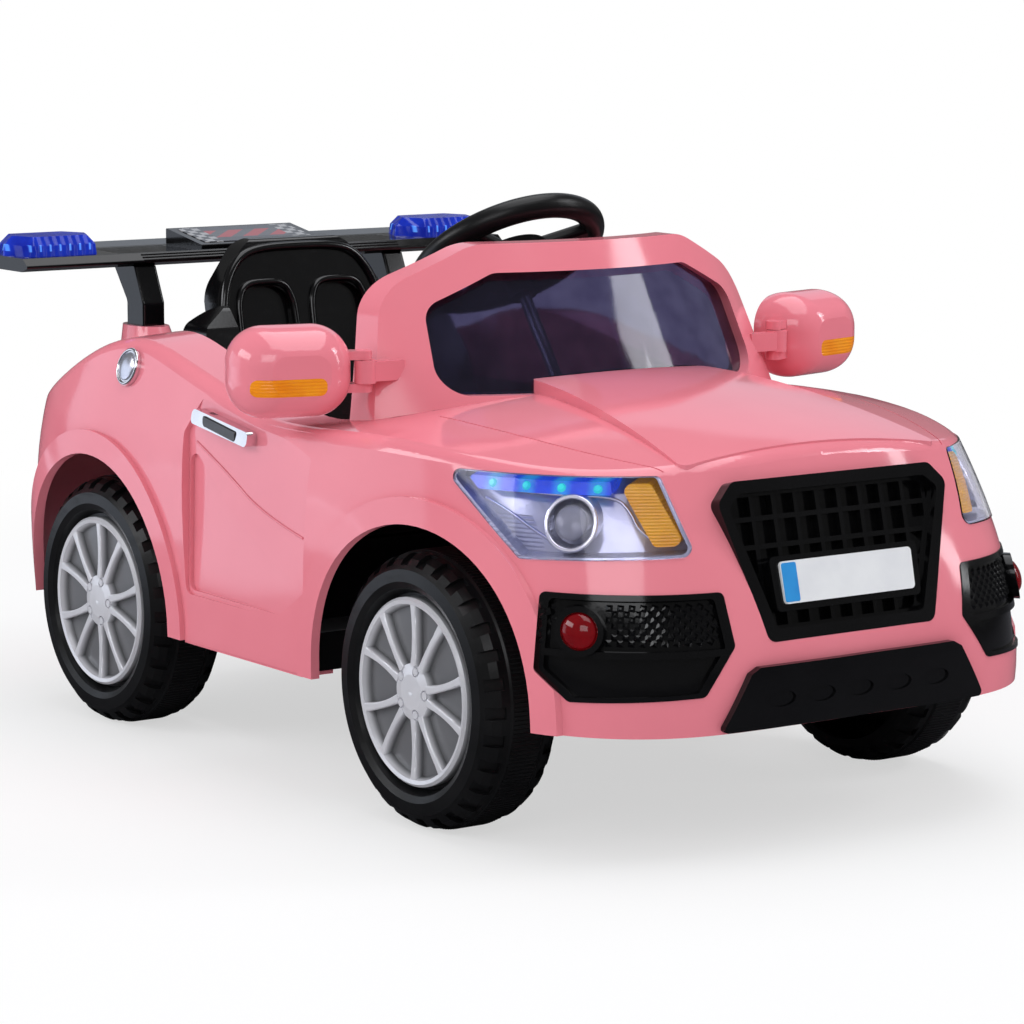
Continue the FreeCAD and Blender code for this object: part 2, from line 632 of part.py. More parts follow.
def build_seat():
    """One black moulding: pan, raked back with two tall channels, bolsters and skirt."""
    form = side_prism(((-92, 196), (-92, 216), (-314, 206), (-376, 474), (-402, 476), (-344, 196)),
                      9, -186, 186)
    face = front_prism(symmetric(((186, 190), (176, 288), (124, 328), (104, 400), (104, 520))), 10, -440, -60)
    crown = front_prism(symmetric(((190, 100), (190, 290), (108, 384), (102, 424), (58, 477))), 44, -440, -60)
    seat = form.common(face).common(crown)
    hollow = side_prism(((-104, 150), (-104, 205), (-326, 195), (-385, 452), (-460, 454), (-400, 150)),
                        6, -200, 200)
    room = front_prism(symmetric(((178, 100), (168, 284), (116, 324), (96, 400), (96, 500))), 8, -480, -40)
    arch = front_prism(symmetric(((182, 60), (182, 286), (100, 380), (94, 420), (53, 469))), 38, -480, -40)
    seat = seat.cut(hollow.common(room).common(arch))
    lean = math.degrees(math.atan2(64, 278))
    channels = []
    for y in (-45, 45):
        tool = front_prism(((y - 34, 20), (y + 34, 20), (y + 31, 226), (y - 31, 226)), 26, -7, 20)
        tool.rotate(V(0, 0, 0), V(0, 1, 0), -lean)
        tool.translate(V(-314, 0, 206))
        channels.append(tool)
    seat = seat.cut(channels)
    bolster = side_prism(((-112, 206), (-120, 236), (-246, 262), (-306, 390), (-328, 414), (-352, 404), (-338, 206)),
                         14, -162, -112)
    slope = front_prism(((-90, 190), (-90, 412), (-108, 416), (-150, 392), (-164, 350), (-164, 190)), 16, -400, -100)
    rest = bolster.common(slope)
    skirt = box(-340, -92, -176, 176, FLOOR_Z + FLOOR_T, 197).cut(
        box(-350, -97, -171, 171, FLOOR_Z, 197.5))
    skirt = skirt.cut(box(-350, -200, -200, 200, FLOOR_Z, 190))
    return {"seat": seat.fuse([rest, mirrored(rest), skirt])}


def build_chassis():
    plan = ((-118, REAR_HALF), (-118, SILL_HALF), (106, SILL_HALF), (106, FRONT_HALF), (440, FRONT_HALF))
    start = ((-440, REAR_HALF),)
    half = start + plan
    loop = list(half) + [(x, -y) for x, y in reversed(half)]
    tray = plan_prism(loop, 8, FLOOR_Z, TUB_TOP_Z)
    inner = [(x + TUB_WALL * sx, y - TUB_WALL) for (x, y), sx in zip(half, (1, 1, 1, -1, -1, -1))]
    loop = list(inner) + [(x, -y) for x, y in reversed(inner)]
    tray = tray.cut(plan_prism(loop, 4, FLOOR_Z + FLOOR_T, TUB_TOP_Z + 20))
    cuts = [cylinder(AXLE_R + RUN_FIT, V(REAR_AXLE_X, -300, WHEEL_R), V(REAR_AXLE_X, 300, WHEEL_R)),
            plan_prism(((255, 50), (350, 50), (350, -50), (255, -50)), 10, 90, 140),
            box(FRONT_AXLE_X - 60, FRONT_AXLE_X + 75, -400, -FRONT_HALF + 8, 90, 200),
            box(FRONT_AXLE_X - 60, FRONT_AXLE_X + 75, FRONT_HALF - 8, 400, 90, 200)]
    for x in SCREW_X:
        for y in (-SCREW_Y, SCREW_Y):
            cuts.append(Part.makeCylinder(SCREW_R + RUN_FIT, 20, V(x, y, FLOOR_Z - 12)))
    nose = side_prism(((425, FLOOR_Z), (425, 128), (505, 128), (505, FLOOR_Z)), 3, -90, 90)
    tray = tray.fuse(nose)
    return tray.cut(cuts)


# Steering: the wheel turns the column, its crank moves the tie rod, the tie rod turns the knuckles.


def column_at(t):
    """Point of the column axis at a distance below the steering wheel's middle."""
    return STEER_CENTRE - STEER_UP * t


def steer_place(shape):
    turned = shape.copy()
    turned.rotate(V(0, 0, 0), V(0, 1, 0), -STEER_TILT)
    turned.translate(STEER_CENTRE)
    return turned


def build_steering():
    pieces = {}
    rim = Part.makeTorus(STEER_RIM_R, STEER_TUBE_R)
    hub = Part.makeCone(34, 40, 22, V(0, 0, -24)).fuse(Part.makeCylinder(14, 26, V(0, 0, -48)))
    spokes = []
    for angle in (0, 120, 240):
        bar = box(24, STEER_RIM_R - 6, -13, 13, -9, 3)
        bar = fillet(bar, 4, [e for e in bar.Edges if abs(e.BoundBox.XLength) > 20])
        bar.rotate(V(0, 0, 0), V(0, 0, 1), angle + 180)
        spokes.append(bar)
    wheel = rim.fuse([hub] + spokes)
    wheel = wheel.cut([Part.makeCylinder(25.4, 20, V(0, 0, -7)), Part.makeCylinder(COLUMN_R, 60, V(0, 0, -60))])
    pieces["steering_wheel"] = steer_place(wheel)
    button = Part.makeCylinder(25, 8, V(0, 0, -2))
    button = fillet(button, 3, [e for e in button.Edges if e.BoundBox.ZMin > 5])
    pieces["horn_button"] = steer_place(button)
    rod = cylinder(COLUMN_R, column_at(COLUMN_END), column_at(8.0))
    web = Part.makeCylinder(9, 10, column_at(COLUMN_END), STEER_UP)
    pin_top = column_at(COLUMN_END) + CRANK_OUT * CRANK_R
    pin_run = (pin_top.z - (TIE_Z - 3)) / STEER_UP.z
    pin = cylinder(CRANK_PIN_R, pin_top + STEER_UP * 10, pin_top - STEER_UP * pin_run)
    arm = box(0, CRANK_R, -7, 7, 0, 10)
    arm.rotate(V(0, 0, 0), V(0, 1, 0), -STEER_TILT)
    arm.translate(column_at(COLUMN_END))
    pieces["steering_column"] = rod.fuse([web, arm, pin])

    pieces["knuckle"] = build_knuckle()
    bar = box(TIE_X - 7, TIE_X + 7, -KINGPIN_Y, KINGPIN_Y, TIE_Z, TIE_Z + TIE_T)
    ends = [Part.makeCylinder(12, TIE_T, V(TIE_X, y, TIE_Z)) for y in (-KINGPIN_Y, KINGPIN_Y)]
    back_x, front_x = TIE_X - SLOT_BACK - 10.5, TIE_X + 18
    middle = plan_prism(((back_x, 16), (front_x, 16), (front_x, -16), (back_x, -16)), 4, TIE_Z, TIE_Z + TIE_T)
    slots = [slot_prism(TIE_X - 2, y, ARM_PIN_R + 0.4, 5.0) for y in (-KINGPIN_Y, KINGPIN_Y)]
    slots.append(slot_prism(TIE_X - SLOT_BACK / 2 + 4, 0, CRANK_PIN_R + PIN_PLAY, SLOT_BACK + 6))
    pieces["tie_rod"] = bar.fuse(ends + [middle]).cut(slots)
    beam = box(240, 291, -KINGPIN_Y, KINGPIN_Y, 134, 146).cut(box(264, 300, -60, 60, 100, 200))
    bosses = [Part.makeCylinder(13, 26, V(FRONT_AXLE_X, y, 134)) for y in (-KINGPIN_Y, KINGPIN_Y)]
    bores = [Part.makeCylinder(KINGPIN_R + RUN_FIT, 90, V(FRONT_AXLE_X, y, 100))
             for y in (-KINGPIN_Y, KINGPIN_Y)]
    feet = [box(240, 262, y0, y1, FLOOR_Z + FLOOR_T, 134) for y0, y1 in ((-140, -100), (100, 140))]
    pieces["front_beam"] = beam.fuse(bosses + feet).cut(bores)
    bush_mid = column_at(340.0)
    stand = side_prism(((bush_mid.x - 26, FLOOR_Z + FLOOR_T), (bush_mid.x - 26, bush_mid.z + 6),
                        (bush_mid.x - 4, bush_mid.z + 22), (bush_mid.x + 18, bush_mid.z - 4),
                        (bush_mid.x + 4, FLOOR_Z + FLOOR_T)), 4, -16, 16)
    feet = box(bush_mid.x - 40, bush_mid.x + 12, -34, 34, FLOOR_Z + FLOOR_T, FLOOR_Z + FLOOR_T + 6)
    bore = cylinder(COLUMN_R + RUN_FIT, column_at(260.0), column_at(430.0))
    clear = box(bush_mid.x + 8, bush_mid.x + 60, -60, 60, FLOOR_Z + FLOOR_T + 7, 190)
    pieces["column_bush"] = stand.fuse(feet).cut([bore, clear])
    return pieces


def slot_prism(x, y, radius, run):
    """Slot along the car: two round ends with straight flanks, through the tie rod."""
    ends = [Part.makeCylinder(radius, 40, V(x + d, y, TIE_Z - 16)) for d in (-run / 2, run / 2)]
    return ends[0].fuse([ends[1], box(x - run / 2, x + run / 2, y - radius, y + radius, TIE_Z - 16, TIE_Z + 24)])


def build_knuckle():
    """Right knuckle: kingpin, stub axle with cap, collar and forward steering arm."""
    x, y = FRONT_AXLE_X, -KINGPIN_Y
    low = TIE_Z - 8.5
    pin = Part.makeCylinder(KINGPIN_R, 172 - low, V(x, y, low))
    collar = Part.makeCylinder(10, 18, V(x, y, WHEEL_R - 10))
    stub = cylinder(AXLE_R, V(x, y, WHEEL_R), V(x, -WHEEL_FACE_Y + 12, WHEEL_R))
    flange = cylinder(9, V(x, y, WHEEL_R), V(x, -WHEEL_FACE_Y + WHEEL_WIDTH + 1.5, WHEEL_R))
    cap = cylinder(9, V(x, -WHEEL_FACE_Y + 13.5, WHEEL_R), V(x, -WHEEL_FACE_Y + 9, WHEEL_R))
    arm = plan_prism(((x - 8, y + 6.5), (TIE_X + 6, y + 6.5), (TIE_X + 6, y - 6.5), (x - 8, y - 6.5)), 4,
                     low, low + 8)
    peg = Part.makeCylinder(ARM_PIN_R, TIE_T + 12, V(TIE_X, y, low + 4))
    top = Part.makeCylinder(8, 5, V(x, y, 160.5))
    return pin.fuse([collar, stub, flange, cap, arm, peg, top])


# Road wheel, drawn about its own axle with the outer face at y = 0 and the car at +y.

def ring_of(points):
    """Solid of revolution about the Y axis from (radius, y) pairs."""
    loop = [V(r, y, 0) for r, y in points]
    face = Part.Face(Part.makePolygon(loop + loop[:1]))
    return face.revolve(V(0, 0, 0), V(0, 1, 0), 360)


def build_wheel():
    w = WHEEL_WIDTH
    r = WHEEL_R
    profile = ((AXLE_R + RUN_FIT, WEB_Y), (HUBCAP_R + 3, WEB_Y), (93, 3), (99, 0), (110, 1), (r - 6, 8), (r - 2, 15),
               (r - 1.5, 24), (r, 26), (r, w - 26), (r - 1.5, w - 24), (r - 2, w - 15), (r - 6, w - 8),
               (110, w - 1), (102, w), (102, w - 5), (112, w - 9), (r - 8, w - 17), (r - 8, 19),
               (112, 10), (101, 6), (96, 20), (16, 20), (13, w - 1), (AXLE_R + RUN_FIT, w - 1))
    tyre = ring_of(profile)
    notches = []
    for k in range(LUG_COUNT):
        for y0, y1, turn in ((-2, 20, 0.0), (w - 20, w + 2, 0.5)):
            notch = box(r - 16, r + 4, y0, y1, -LUG_GAP / 2, LUG_GAP / 2)
            notch.rotate(V(0, 0, 0), V(0, 1, 0), 360.0 * (k + turn) / LUG_COUNT)
            notches.append(notch)
    inner = ring_of(((80, -5), (r - 15, -5), (r - LUG_DEPTH, 20), (r - LUG_DEPTH, w - 20), (r - 15, w + 5), (80, w + 5)))
    tyre = tyre.cut(Part.makeCompound([n.cut(inner) for n in notches]))
    rim = HUBCAP_R
    dish = ring_of(((12, WEB_Y - 0.1), (rim, WEB_Y - 0.1), (rim, 5), (rim - 2.5, 2.5), (rim - 6, 3.5), (rim - 9, DISH_Y),
                    (27, DISH_Y), (25.5, 5), (16, 3), (0, 2.5), (0, 7), (12, 7)))
    spokes = []
    for k in range(5):
        for side in (-1, 1):
            spoke = spoke_bar(side)
            spoke.rotate(V(0, 0, 0), V(0, 1, 0), 72.0 * k)
            spokes.append(spoke)
    nuts = []
    pockets = []
    for k in range(5):
        for radius, start, stop, pile in ((NUT_R, 3.2, 7, nuts), (NUT_R + 1.4, -5, 5.4, pockets)):
            round_bar = cylinder(radius, V(NUT_CIRCLE_R, start, 0), V(NUT_CIRCLE_R, stop, 0))
            round_bar.rotate(V(0, 0, 0), V(0, 1, 0), 72.0 * k)
            pile.append(round_bar)
    return tyre, dish.fuse(spokes).cut(pockets).fuse(nuts)


def spoke_bar(side):
    """Curved spoke of a pair: the two leave the hub together and spread evenly to the rim."""
    inner, middle, outer = 23.0, 48.0, HUBCAP_R - 6.5
    spread = ((inner, 5.5, 4.5), (middle, 12.0, 3.4), (outer, outer * math.tan(math.pi / 10) - 1.0, 5.2))
    left = [V(r, 0, side * (o + w)) for r, o, w in spread]
    right = [V(r, 0, side * (o - w)) for r, o, w in spread]
    edges = [Part.Arc(*left).toShape(), Part.makeLine(left[2], right[2]),
             Part.Arc(right[2], right[1], right[0]).toShape(), Part.makeLine(right[0], left[0])]
    bar = place(Part.Face(Part.Wire(edges)).extrude(V(0, DISH_Y - 3.0, 0)), 0, 3.5, 0)
    return fillet(bar, 1.6, [e for e in bar.Edges if e.BoundBox.YMax < 3.6 and e.Length > 20])


def wheel_at(shape, x, left):
    piece = place(shape, x, -WHEEL_FACE_Y, WHEEL_R)
    return mirrored(piece) if left else piece


def build_drive():
    pieces = {}
    reach = WHEEL_FACE_Y - 12
    axle = cylinder(AXLE_R, V(REAR_AXLE_X, -reach, WHEEL_R), V(REAR_AXLE_X, reach, WHEEL_R))
    caps = [cylinder(9, V(REAR_AXLE_X, s * (reach - 1.5), WHEEL_R), V(REAR_AXLE_X, s * (reach + 3), WHEEL_R))
            for s in (-1, 1)]
    pieces["rear_axle"] = axle.fuse(caps)
    x = REAR_AXLE_X
    z0 = FLOOR_Z + FLOOR_T
    case = side_prism(((x - 32, z0), (x - 32, 168), (x + 30, 178), (x + 84, 160), (x + 84, z0)), 10,
                      -REAR_HALF + TUB_WALL, -REAR_HALF + TUB_WALL + 44)
    case = case.cut(cylinder(AXLE_R + 1, V(x, -300, WHEEL_R), V(x, 0, WHEEL_R)))
    pieces["gearbox"] = case
    y0 = -REAR_HALF + TUB_WALL + 44
    can = cylinder(MOTOR_R, V(MOTOR_X, y0, MOTOR_Z), V(MOTOR_X, y0 + 52, MOTOR_Z))
    tail = cylinder(7, V(MOTOR_X, y0 + 52, MOTOR_Z), V(MOTOR_X, -MOTOR_END_Y, MOTOR_Z))
    can = fillet(can, 2, [e for e in can.Edges if e.BoundBox.YMin > y0 + 50])
    pieces["motor"] = can.fuse(tail)
    pieces["battery"] = box(BATTERY_X[0], BATTERY_X[1], -76, 76, z0, z0 + 64)
    pieces["battery"] = fillet(pieces["battery"], 3, [e for e in pieces["battery"].Edges if e.BoundBox.ZLength > 20])
    return pieces


def build_controls():
    pieces = {}
    dash = cockpit_prism(-0.2, 296, 352).common(box(100, 200, -260, 260, 280, 360))
    slope = side_prism(((60, 360), (60, 318), (104, 318), (150, 345), (150, 380)), 2, -260, 260)
    dash = dash.cut(slope)
    dash = dash.cut(cylinder(COLUMN_R + 3, column_at(100), column_at(300)))
    normal = V(-27, 0, 46).normalize()
    along = V(46, 0, 27).normalize()
    spot = V(127, 0, 331.5)
    button_at = spot + V(0, 96, 0)
    rocker_at = spot + V(0, -96, 0)
    jack_at = V(100, 150, 308)
    well = cylinder(BUTTON_R + 0.4, button_at - normal * 12, button_at + normal * 20)
    hole = rocker_box(ROCKER_LONG + ROCKER_PLAY, ROCKER_WIDE + 0.7, 14, 20)
    pivot = rocker_pin(ROCKER_PIN_R + RUN_FIT, ROCKER_WIDE + 3.5)
    hole = tilt_place(hole.fuse(pivot), rocker_at)
    jack_hole = cylinder(7.0, jack_at - V(5, 0, 0), jack_at + V(16, 0, 0))
    pieces["dashboard"] = dash.cut([well, hole, jack_hole])
    button = cylinder(BUTTON_R, button_at - normal * 5, button_at + normal * 4)
    pieces["power_button"] = button
    rocker = rocker_box(ROCKER_LONG, ROCKER_WIDE, 7, 4).fuse(rocker_pin(ROCKER_PIN_R, ROCKER_WIDE + 3.0))
    pieces["direction_switch"] = tilt_place(rocker, rocker_at)
    socket = cylinder(7.0, jack_at + V(-2, 0, 0), jack_at + V(16, 0, 0))
    socket = socket.cut(cylinder(JACK_R, jack_at + V(-6, 0, 0), jack_at + V(12, 0, 0)))
    pieces["charge_socket"] = socket
    z0 = FLOOR_Z + FLOOR_T
    plate = side_prism(((62, z0 + 7), (62, z0 + 12), (128, z0 + 50), (131, z0 + 45)), 2, -110, -54)
    ear = Part.makeCylinder(6, 56, V(66, -110, z0 + 9), V(0, 1, 0))
    pedal = plate.fuse(ear).cut(cylinder(3 + RUN_FIT, V(66, -140, z0 + 9), V(66, -20, z0 + 9)))
    pieces["accelerator_pedal"] = pedal
    pin = cylinder(3, V(66, -120, z0 + 9), V(66, -44, z0 + 9))
    blocks = [box(56, 76, y0, y1, z0, z0 + 15) for y0, y1 in ((-120, -112), (-52, -44))]
    base = box(56, 126, -120, -44, z0, z0 + 1.5)
    pieces["pedal_base"] = pin.fuse(blocks + [base])
    return pieces


def rocker_box(a, b, down, up):
    return box(-a, a, -b, b, -down, up)


def rocker_pin(radius, reach):
    return cylinder(radius, V(0, -reach, -ROCKER_PIN_DROP), V(0, reach, -ROCKER_PIN_DROP))


def tilt_place(shape, spot):
    turned = shape.copy()
    turned.rotate(V(0, 0, 0), V(0, 1, 0), -math.degrees(math.atan2(27, 46)))
    turned.translate(spot)
    return turned


def build_screws():
    screws = []
    for x in SCREW_X:
        for y in (-SCREW_Y, SCREW_Y):
            head = Part.makeCylinder(5, 3, V(x, y, FLOOR_Z - 7))
            shank = Part.makeCylinder(SCREW_R, 12, V(x, y, FLOOR_Z - 4))
            screws.append(head.fuse(shank))
    return Part.makeCompound(screws)


def build_wiring():
    """Control box on the floor behind the battery, its cables to battery and motors."""
    z0 = FLOOR_Z + FLOOR_T
    case = box(CONTROL_X - 28, CONTROL_X + 28, -40, 40, z0, z0 + 30)
    case = fillet(case, 3, [e for e in case.Edges if e.BoundBox.ZLength > 10])
    cables = [cylinder(CABLE_R, V(CONTROL_X + 28, 0, z0 + 12), V(BATTERY_X[0], 0, z0 + 12))]
    for side in (-1, 1):
        cables.append(cylinder(CABLE_R, V(MOTOR_X, side * 40, MOTOR_Z), V(MOTOR_X, side * MOTOR_END_Y, MOTOR_Z)))
    return {"control_box": case, "wiring": Part.makeCompound(cables)}


def save(name, shape):
    shape.exportStep("parts/" + name + ".step")


def build_all():
    nodes = {"body_shell": build_body_shell(), "chassis_tub": build_chassis()}
    nodes.update(build_windscreen())
    nodes.update(build_seat())
    nodes.update(build_steering())
    nodes.update(build_drive())
    nodes.update(build_controls())
    nodes.update(build_front_trim())
    nodes.update(build_side_trim())
    nodes.update(build_mirror())
    nodes.update(build_spoiler())
    nodes.update(build_wiring())
    nodes["sill_screws"] = build_screws()
    for name in ("headlamp_lens", "headlamp_housing", "fog_panel", "knuckle",
                 "mirror_housing", "mirror_glass", "mirror_indicator"):
        piece = nodes.pop(name)
        nodes[name + "_right"] = piece
        nodes[name + "_left"] = mirrored(piece)
    for name, group in (("front_indicator", "front_indicators"), ("led_strip", "led_strips"),
                        ("fog_lens", "fog_lenses"), ("door_handle", "door_handles"),
                        ("tail_lamp", "tail_lamps"), ("headlamp_bulb", "headlamp_bulbs"),
                        ("spoiler_post", "spoiler_posts"), ("motor", "drive_motors"),
                        ("gearbox", "gearboxes"), ("beacon", "beacons")):
        nodes[group] = both(nodes.pop(name))
    tyre, hubcap = build_wheel()
    for end, x in (("front", FRONT_AXLE_X), ("rear", REAR_AXLE_X)):
        for side, left in (("right", False), ("left", True)):
            nodes["wheel_%s_%s" % (end, side)] = wheel_at(tyre, x, left)
            nodes["hubcap_%s_%s" % (end, side)] = wheel_at(hubcap, x, left)
    for name, shape in nodes.items():
        save(name, shape)
    return nodes


build_all()
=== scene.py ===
# %% [markdown]
# # A pink electric ride-on car
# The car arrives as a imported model: every moulding is already in its place, in metres, with the
# nose along +X and the ground at Z = 0. This lesson gives it its finishes and its small detail.

# %% Load the car
import math

import bpy
from mathutils import Matrix, Vector
from mathutils.bvhtree import BVHTree


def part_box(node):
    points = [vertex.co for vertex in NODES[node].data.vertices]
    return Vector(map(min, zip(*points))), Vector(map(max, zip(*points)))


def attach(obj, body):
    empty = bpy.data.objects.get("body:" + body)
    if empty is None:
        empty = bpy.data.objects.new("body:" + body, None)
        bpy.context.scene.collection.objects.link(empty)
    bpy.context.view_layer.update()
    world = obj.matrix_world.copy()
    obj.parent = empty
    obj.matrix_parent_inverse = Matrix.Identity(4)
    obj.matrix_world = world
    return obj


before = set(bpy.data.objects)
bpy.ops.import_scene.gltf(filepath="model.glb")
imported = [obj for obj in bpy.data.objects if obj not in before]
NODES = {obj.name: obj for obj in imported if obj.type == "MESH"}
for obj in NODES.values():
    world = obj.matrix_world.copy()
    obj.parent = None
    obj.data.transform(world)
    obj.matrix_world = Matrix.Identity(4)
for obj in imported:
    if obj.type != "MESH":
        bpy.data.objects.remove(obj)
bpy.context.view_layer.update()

# %% [markdown]
# ## The camera
# The picture was taken from the car's right front corner, a little above bonnet height, with a
# long lens. A camera can be turned by angles or by three directions. Directions are used here,
# because azimuth and elevation then read as a photographer would say them.

# %% Camera
AZIMUTH = math.radians(54.482)
ELEVATION = math.radians(8.665)
ROLL = math.radians(0.176)
LENS_MM = 130.47
SENSOR_MM = 36.0
CAMERA_SPOT = (2.9537, -2.0926, 0.7794)

back = Vector((math.sin(AZIMUTH) * math.cos(ELEVATION), -math.cos(AZIMUTH) * math.cos(ELEVATION),
               math.sin(ELEVATION)))
right = Vector((math.cos(AZIMUTH), math.sin(AZIMUTH), 0.0))
turn = Matrix((right, back.cross(right), back)).transposed() @ Matrix.Rotation(ROLL, 3, "Z")
camera_data = bpy.data.cameras.new("studio_camera")
camera_data.lens = LENS_MM
camera_data.sensor_width = SENSOR_MM
camera_data.clip_end = 200.0
camera = bpy.data.objects.new("studio_camera", camera_data)
camera.matrix_world = Matrix.Translation(CAMERA_SPOT) @ turn.to_4x4()
bpy.context.scene.collection.objects.link(camera)
bpy.context.scene.camera = camera
print("camera at", [round(v, 2) for v in camera.location])

# %% [markdown]
# ## Node helpers
# Every finish and every repeat below is a small node tree. Two helpers keep the lines short: one
# adds a node and sets its own options, the other fills unlinked sockets by name.

# %% Node helpers
def add_node(tree, kind, **options):
    made = tree.nodes.new(kind)
    for name, value in options.items():
        setattr(made, name, value)
    return made


def fill(made, **values):
    for name, value in values.items():
        made.inputs[name.replace("_", " ")].default_value = value
    return made


def maths(tree, operation, first, second=None):
    """A Math node; each side is a number or a socket to link."""
    made = add_node(tree, "ShaderNodeMath", operation=operation)
    for socket, value in zip(made.inputs, (first, second)):
        if value is None:
            continue
        if isinstance(value, (int, float)):
            socket.default_value = value
        else:
            tree.links.new(value, socket)
    return made.outputs[0]


def blend_colours(tree, factor, first, second):
    made = add_node(tree, "ShaderNodeMix", data_type="RGBA")
    for socket, value in zip((made.inputs[0], made.inputs[6], made.inputs[7]), (factor, first, second)):
        if isinstance(value, (int, float, tuple)):
            socket.default_value = value
        else:
            tree.links.new(value, socket)
    return made.outputs[2]


def new_group(name, inputs, outputs):
    tree = bpy.data.node_groups.new(name, "ShaderNodeTree")
    for label, kind, value in inputs:
        tree.interface.new_socket(label, in_out="INPUT", socket_type="NodeSocket" + kind).default_value = value
    for label, kind in outputs:
        tree.interface.new_socket(label, in_out="OUTPUT", socket_type="NodeSocket" + kind)
    return tree, tree.nodes.new("NodeGroupInput").outputs, tree.nodes.new("NodeGroupOutput").inputs


print("helpers ready")

# %% [markdown]
# ## The studio
# A white sweep and large soft lamps. A sweep can be modelled as a curved sheet, but the camera
# looks down on the floor everywhere, so a wide plane does the same. Close to the car the floor is
# paper that takes the shadow. Further out it turns into plain white for the rays that look at it,
# which clears the grey without lighting the car. Photographers hang black cloth where they do not
# want reflections. Here the rays of a reflection see a dark floor and a dark room, so black plastic
# stays deep and only the lamps shine in it.

# %% Floor
WHITE = (1.0, 1.0, 1.0, 1.0)
PAPER = (0.88, 0.88, 0.88, 1.0)
BLACK_CLOTH = (0.1, 0.1, 0.11, 1.0)
FLOOR_HALF = 60


def seen_ray(tree):
    """1 for rays that look at the backdrop, straight or through glass, 0 for light that falls on things."""
    path = add_node(tree, "ShaderNodeLightPath")
    return maths(tree, "MAXIMUM", path.outputs["Is Camera Ray"], path.outputs["Is Transmission Ray"])


floor_mesh = bpy.data.meshes.new("studio_floor")
corners = [(x * FLOOR_HALF, y * FLOOR_HALF, 0) for x, y in ((-1, -1), (1, -1), (1, 1), (-1, 1))]
floor_mesh.from_pydata(corners, [], [(0, 1, 2, 3)])
floor = bpy.data.objects.new("studio_floor", floor_mesh)
bpy.context.scene.collection.objects.link(floor)
sweep = bpy.data.materials.new("white_sweep")
sweep.use_nodes = True
tree = sweep.node_tree
tree.nodes.remove(tree.nodes["Principled BSDF"])
paper = add_node(tree, "ShaderNodeBsdfDiffuse")
mirrored = add_node(tree, "ShaderNodeLightPath").outputs["Is Glossy Ray"]
tree.links.new(blend_colours(tree, mirrored, PAPER, BLACK_CLOTH), paper.inputs["Color"])
glow = fill(add_node(tree, "ShaderNodeEmission"), Strength=1.0)
reach = add_node(tree, "ShaderNodeVectorMath", operation="LENGTH")
tree.links.new(add_node(tree, "ShaderNodeTexCoord").outputs["Object"], reach.inputs[0])
far = fill(add_node(tree, "ShaderNodeMapRange", interpolation_type="SMOOTHSTEP"), From_Min=0.7, From_Max=2.0,
           To_Min=0.6, To_Max=1.0)
tree.links.new(reach.outputs["Value"], far.inputs["Value"])
both = add_node(tree, "ShaderNodeMixShader")
tree.links.new(maths(tree, "MULTIPLY", seen_ray(tree), far.outputs[0]), both.inputs[0])
tree.links.new(paper.outputs[0], both.inputs[1])
tree.links.new(glow.outputs[0], both.inputs[2])
tree.links.new(both.outputs[0], tree.nodes["Material Output"].inputs["Surface"])
floor_mesh.materials.append(sweep)
print("floor", tuple(floor.dimensions))

# %% [markdown]
# ## The lamps
# Softboxes stand round the car as they would in a studio: one large lamp overhead, keys in front
# and at the side, and bluish walls whose reflection cools the paint. Each is a rectangle aimed at
# the car, so one function with a place, a size and a power makes them all.

# %% Lamps and backdrop
LIGHT_LEVEL = 0.42
DARK_ROOM = 0.14
LAMP_TINT = (0.96, 0.97, 1.0)
WALL_TINT = (0.78, 0.86, 1.0)


def softbox(name, spot, aim, size, power, tint=LAMP_TINT):
    data = bpy.data.lights.new(name, "AREA")
    data.shape = "RECTANGLE"
    data.size, data.size_y = size
    data.energy = power
    data.color = tint
    lamp = bpy.data.objects.new(name, data)
    lamp.location = spot
    lamp.rotation_mode = "QUATERNION"
    lamp.rotation_quaternion = (Vector(aim) - Vector(spot)).to_track_quat("-Z", "Y")
    bpy.context.scene.collection.objects.link(lamp)
    return lamp


lamps = [
    softbox("overhead", (0.1, 0.3, 2.7), (0.0, 0.0, 0.2), (3.4, 1.8), 44.0),
    softbox("front_key", (2.4, -2.2, 2.0), (0.2, 0.0, 0.25), (2.0, 1.2), 22.0),
    softbox("front_left", (1.6, 2.6, 2.2), (0.2, 0.0, 0.25), (0.9, 0.8), 14.0),
    softbox("strip_left", (1.7, 2.3, 1.3), (-0.2, 0.0, 0.4), (0.3, 1.6), 9.0),
    softbox("side_right", (-1.1, -2.7, 1.7), (0.0, 0.0, 0.25), (2.2, 0.8), 26.0),
    softbox("wall_right", (-2.5, -2.2, 0.62), (0.0, -0.3, 0.35), (2.4, 1.2), 10.0, WALL_TINT),
    softbox("card_right", (-2.0, -1.8, 0.02), (-2.0, -1.8, 1.0), (2.0, 2.0), 16.0, WALL_TINT),
    softbox("wall_left", (-2.3, 2.0, 1.7), (0.2, 0.0, 0.35), (2.4, 1.3), 5.0, WALL_TINT),
]
world = bpy.data.worlds.new("studio_air")
bpy.context.scene.world = world
world.use_nodes = True
tree = world.node_tree
air = tree.nodes["Background"]
fill(air, Color=WHITE)
level = maths(tree, "MULTIPLY", seen_ray(tree), 1.0 - LIGHT_LEVEL)
mirrored = add_node(tree, "ShaderNodeLightPath").outputs["Is Glossy Ray"]
shade = maths(tree, "MULTIPLY", mirrored, LIGHT_LEVEL - DARK_ROOM)
tree.links.new(maths(tree, "SUBTRACT", maths(tree, "ADD", level, LIGHT_LEVEL), shade), air.inputs["Strength"])
bpy.context.scene.view_settings.view_transform = "Standard"
print("lamps", [lamp.name for lamp in lamps])

# %% [markdown]
# ## What moulded plastic looks like close up
# A moulding is never one colour. The pigment drifts over a hand's width, the tool leaves a faint
# orange-peel skin, and handling dulls it in streaks. One group makes all three from the place on
# the car, and each plastic below sets its own amounts.

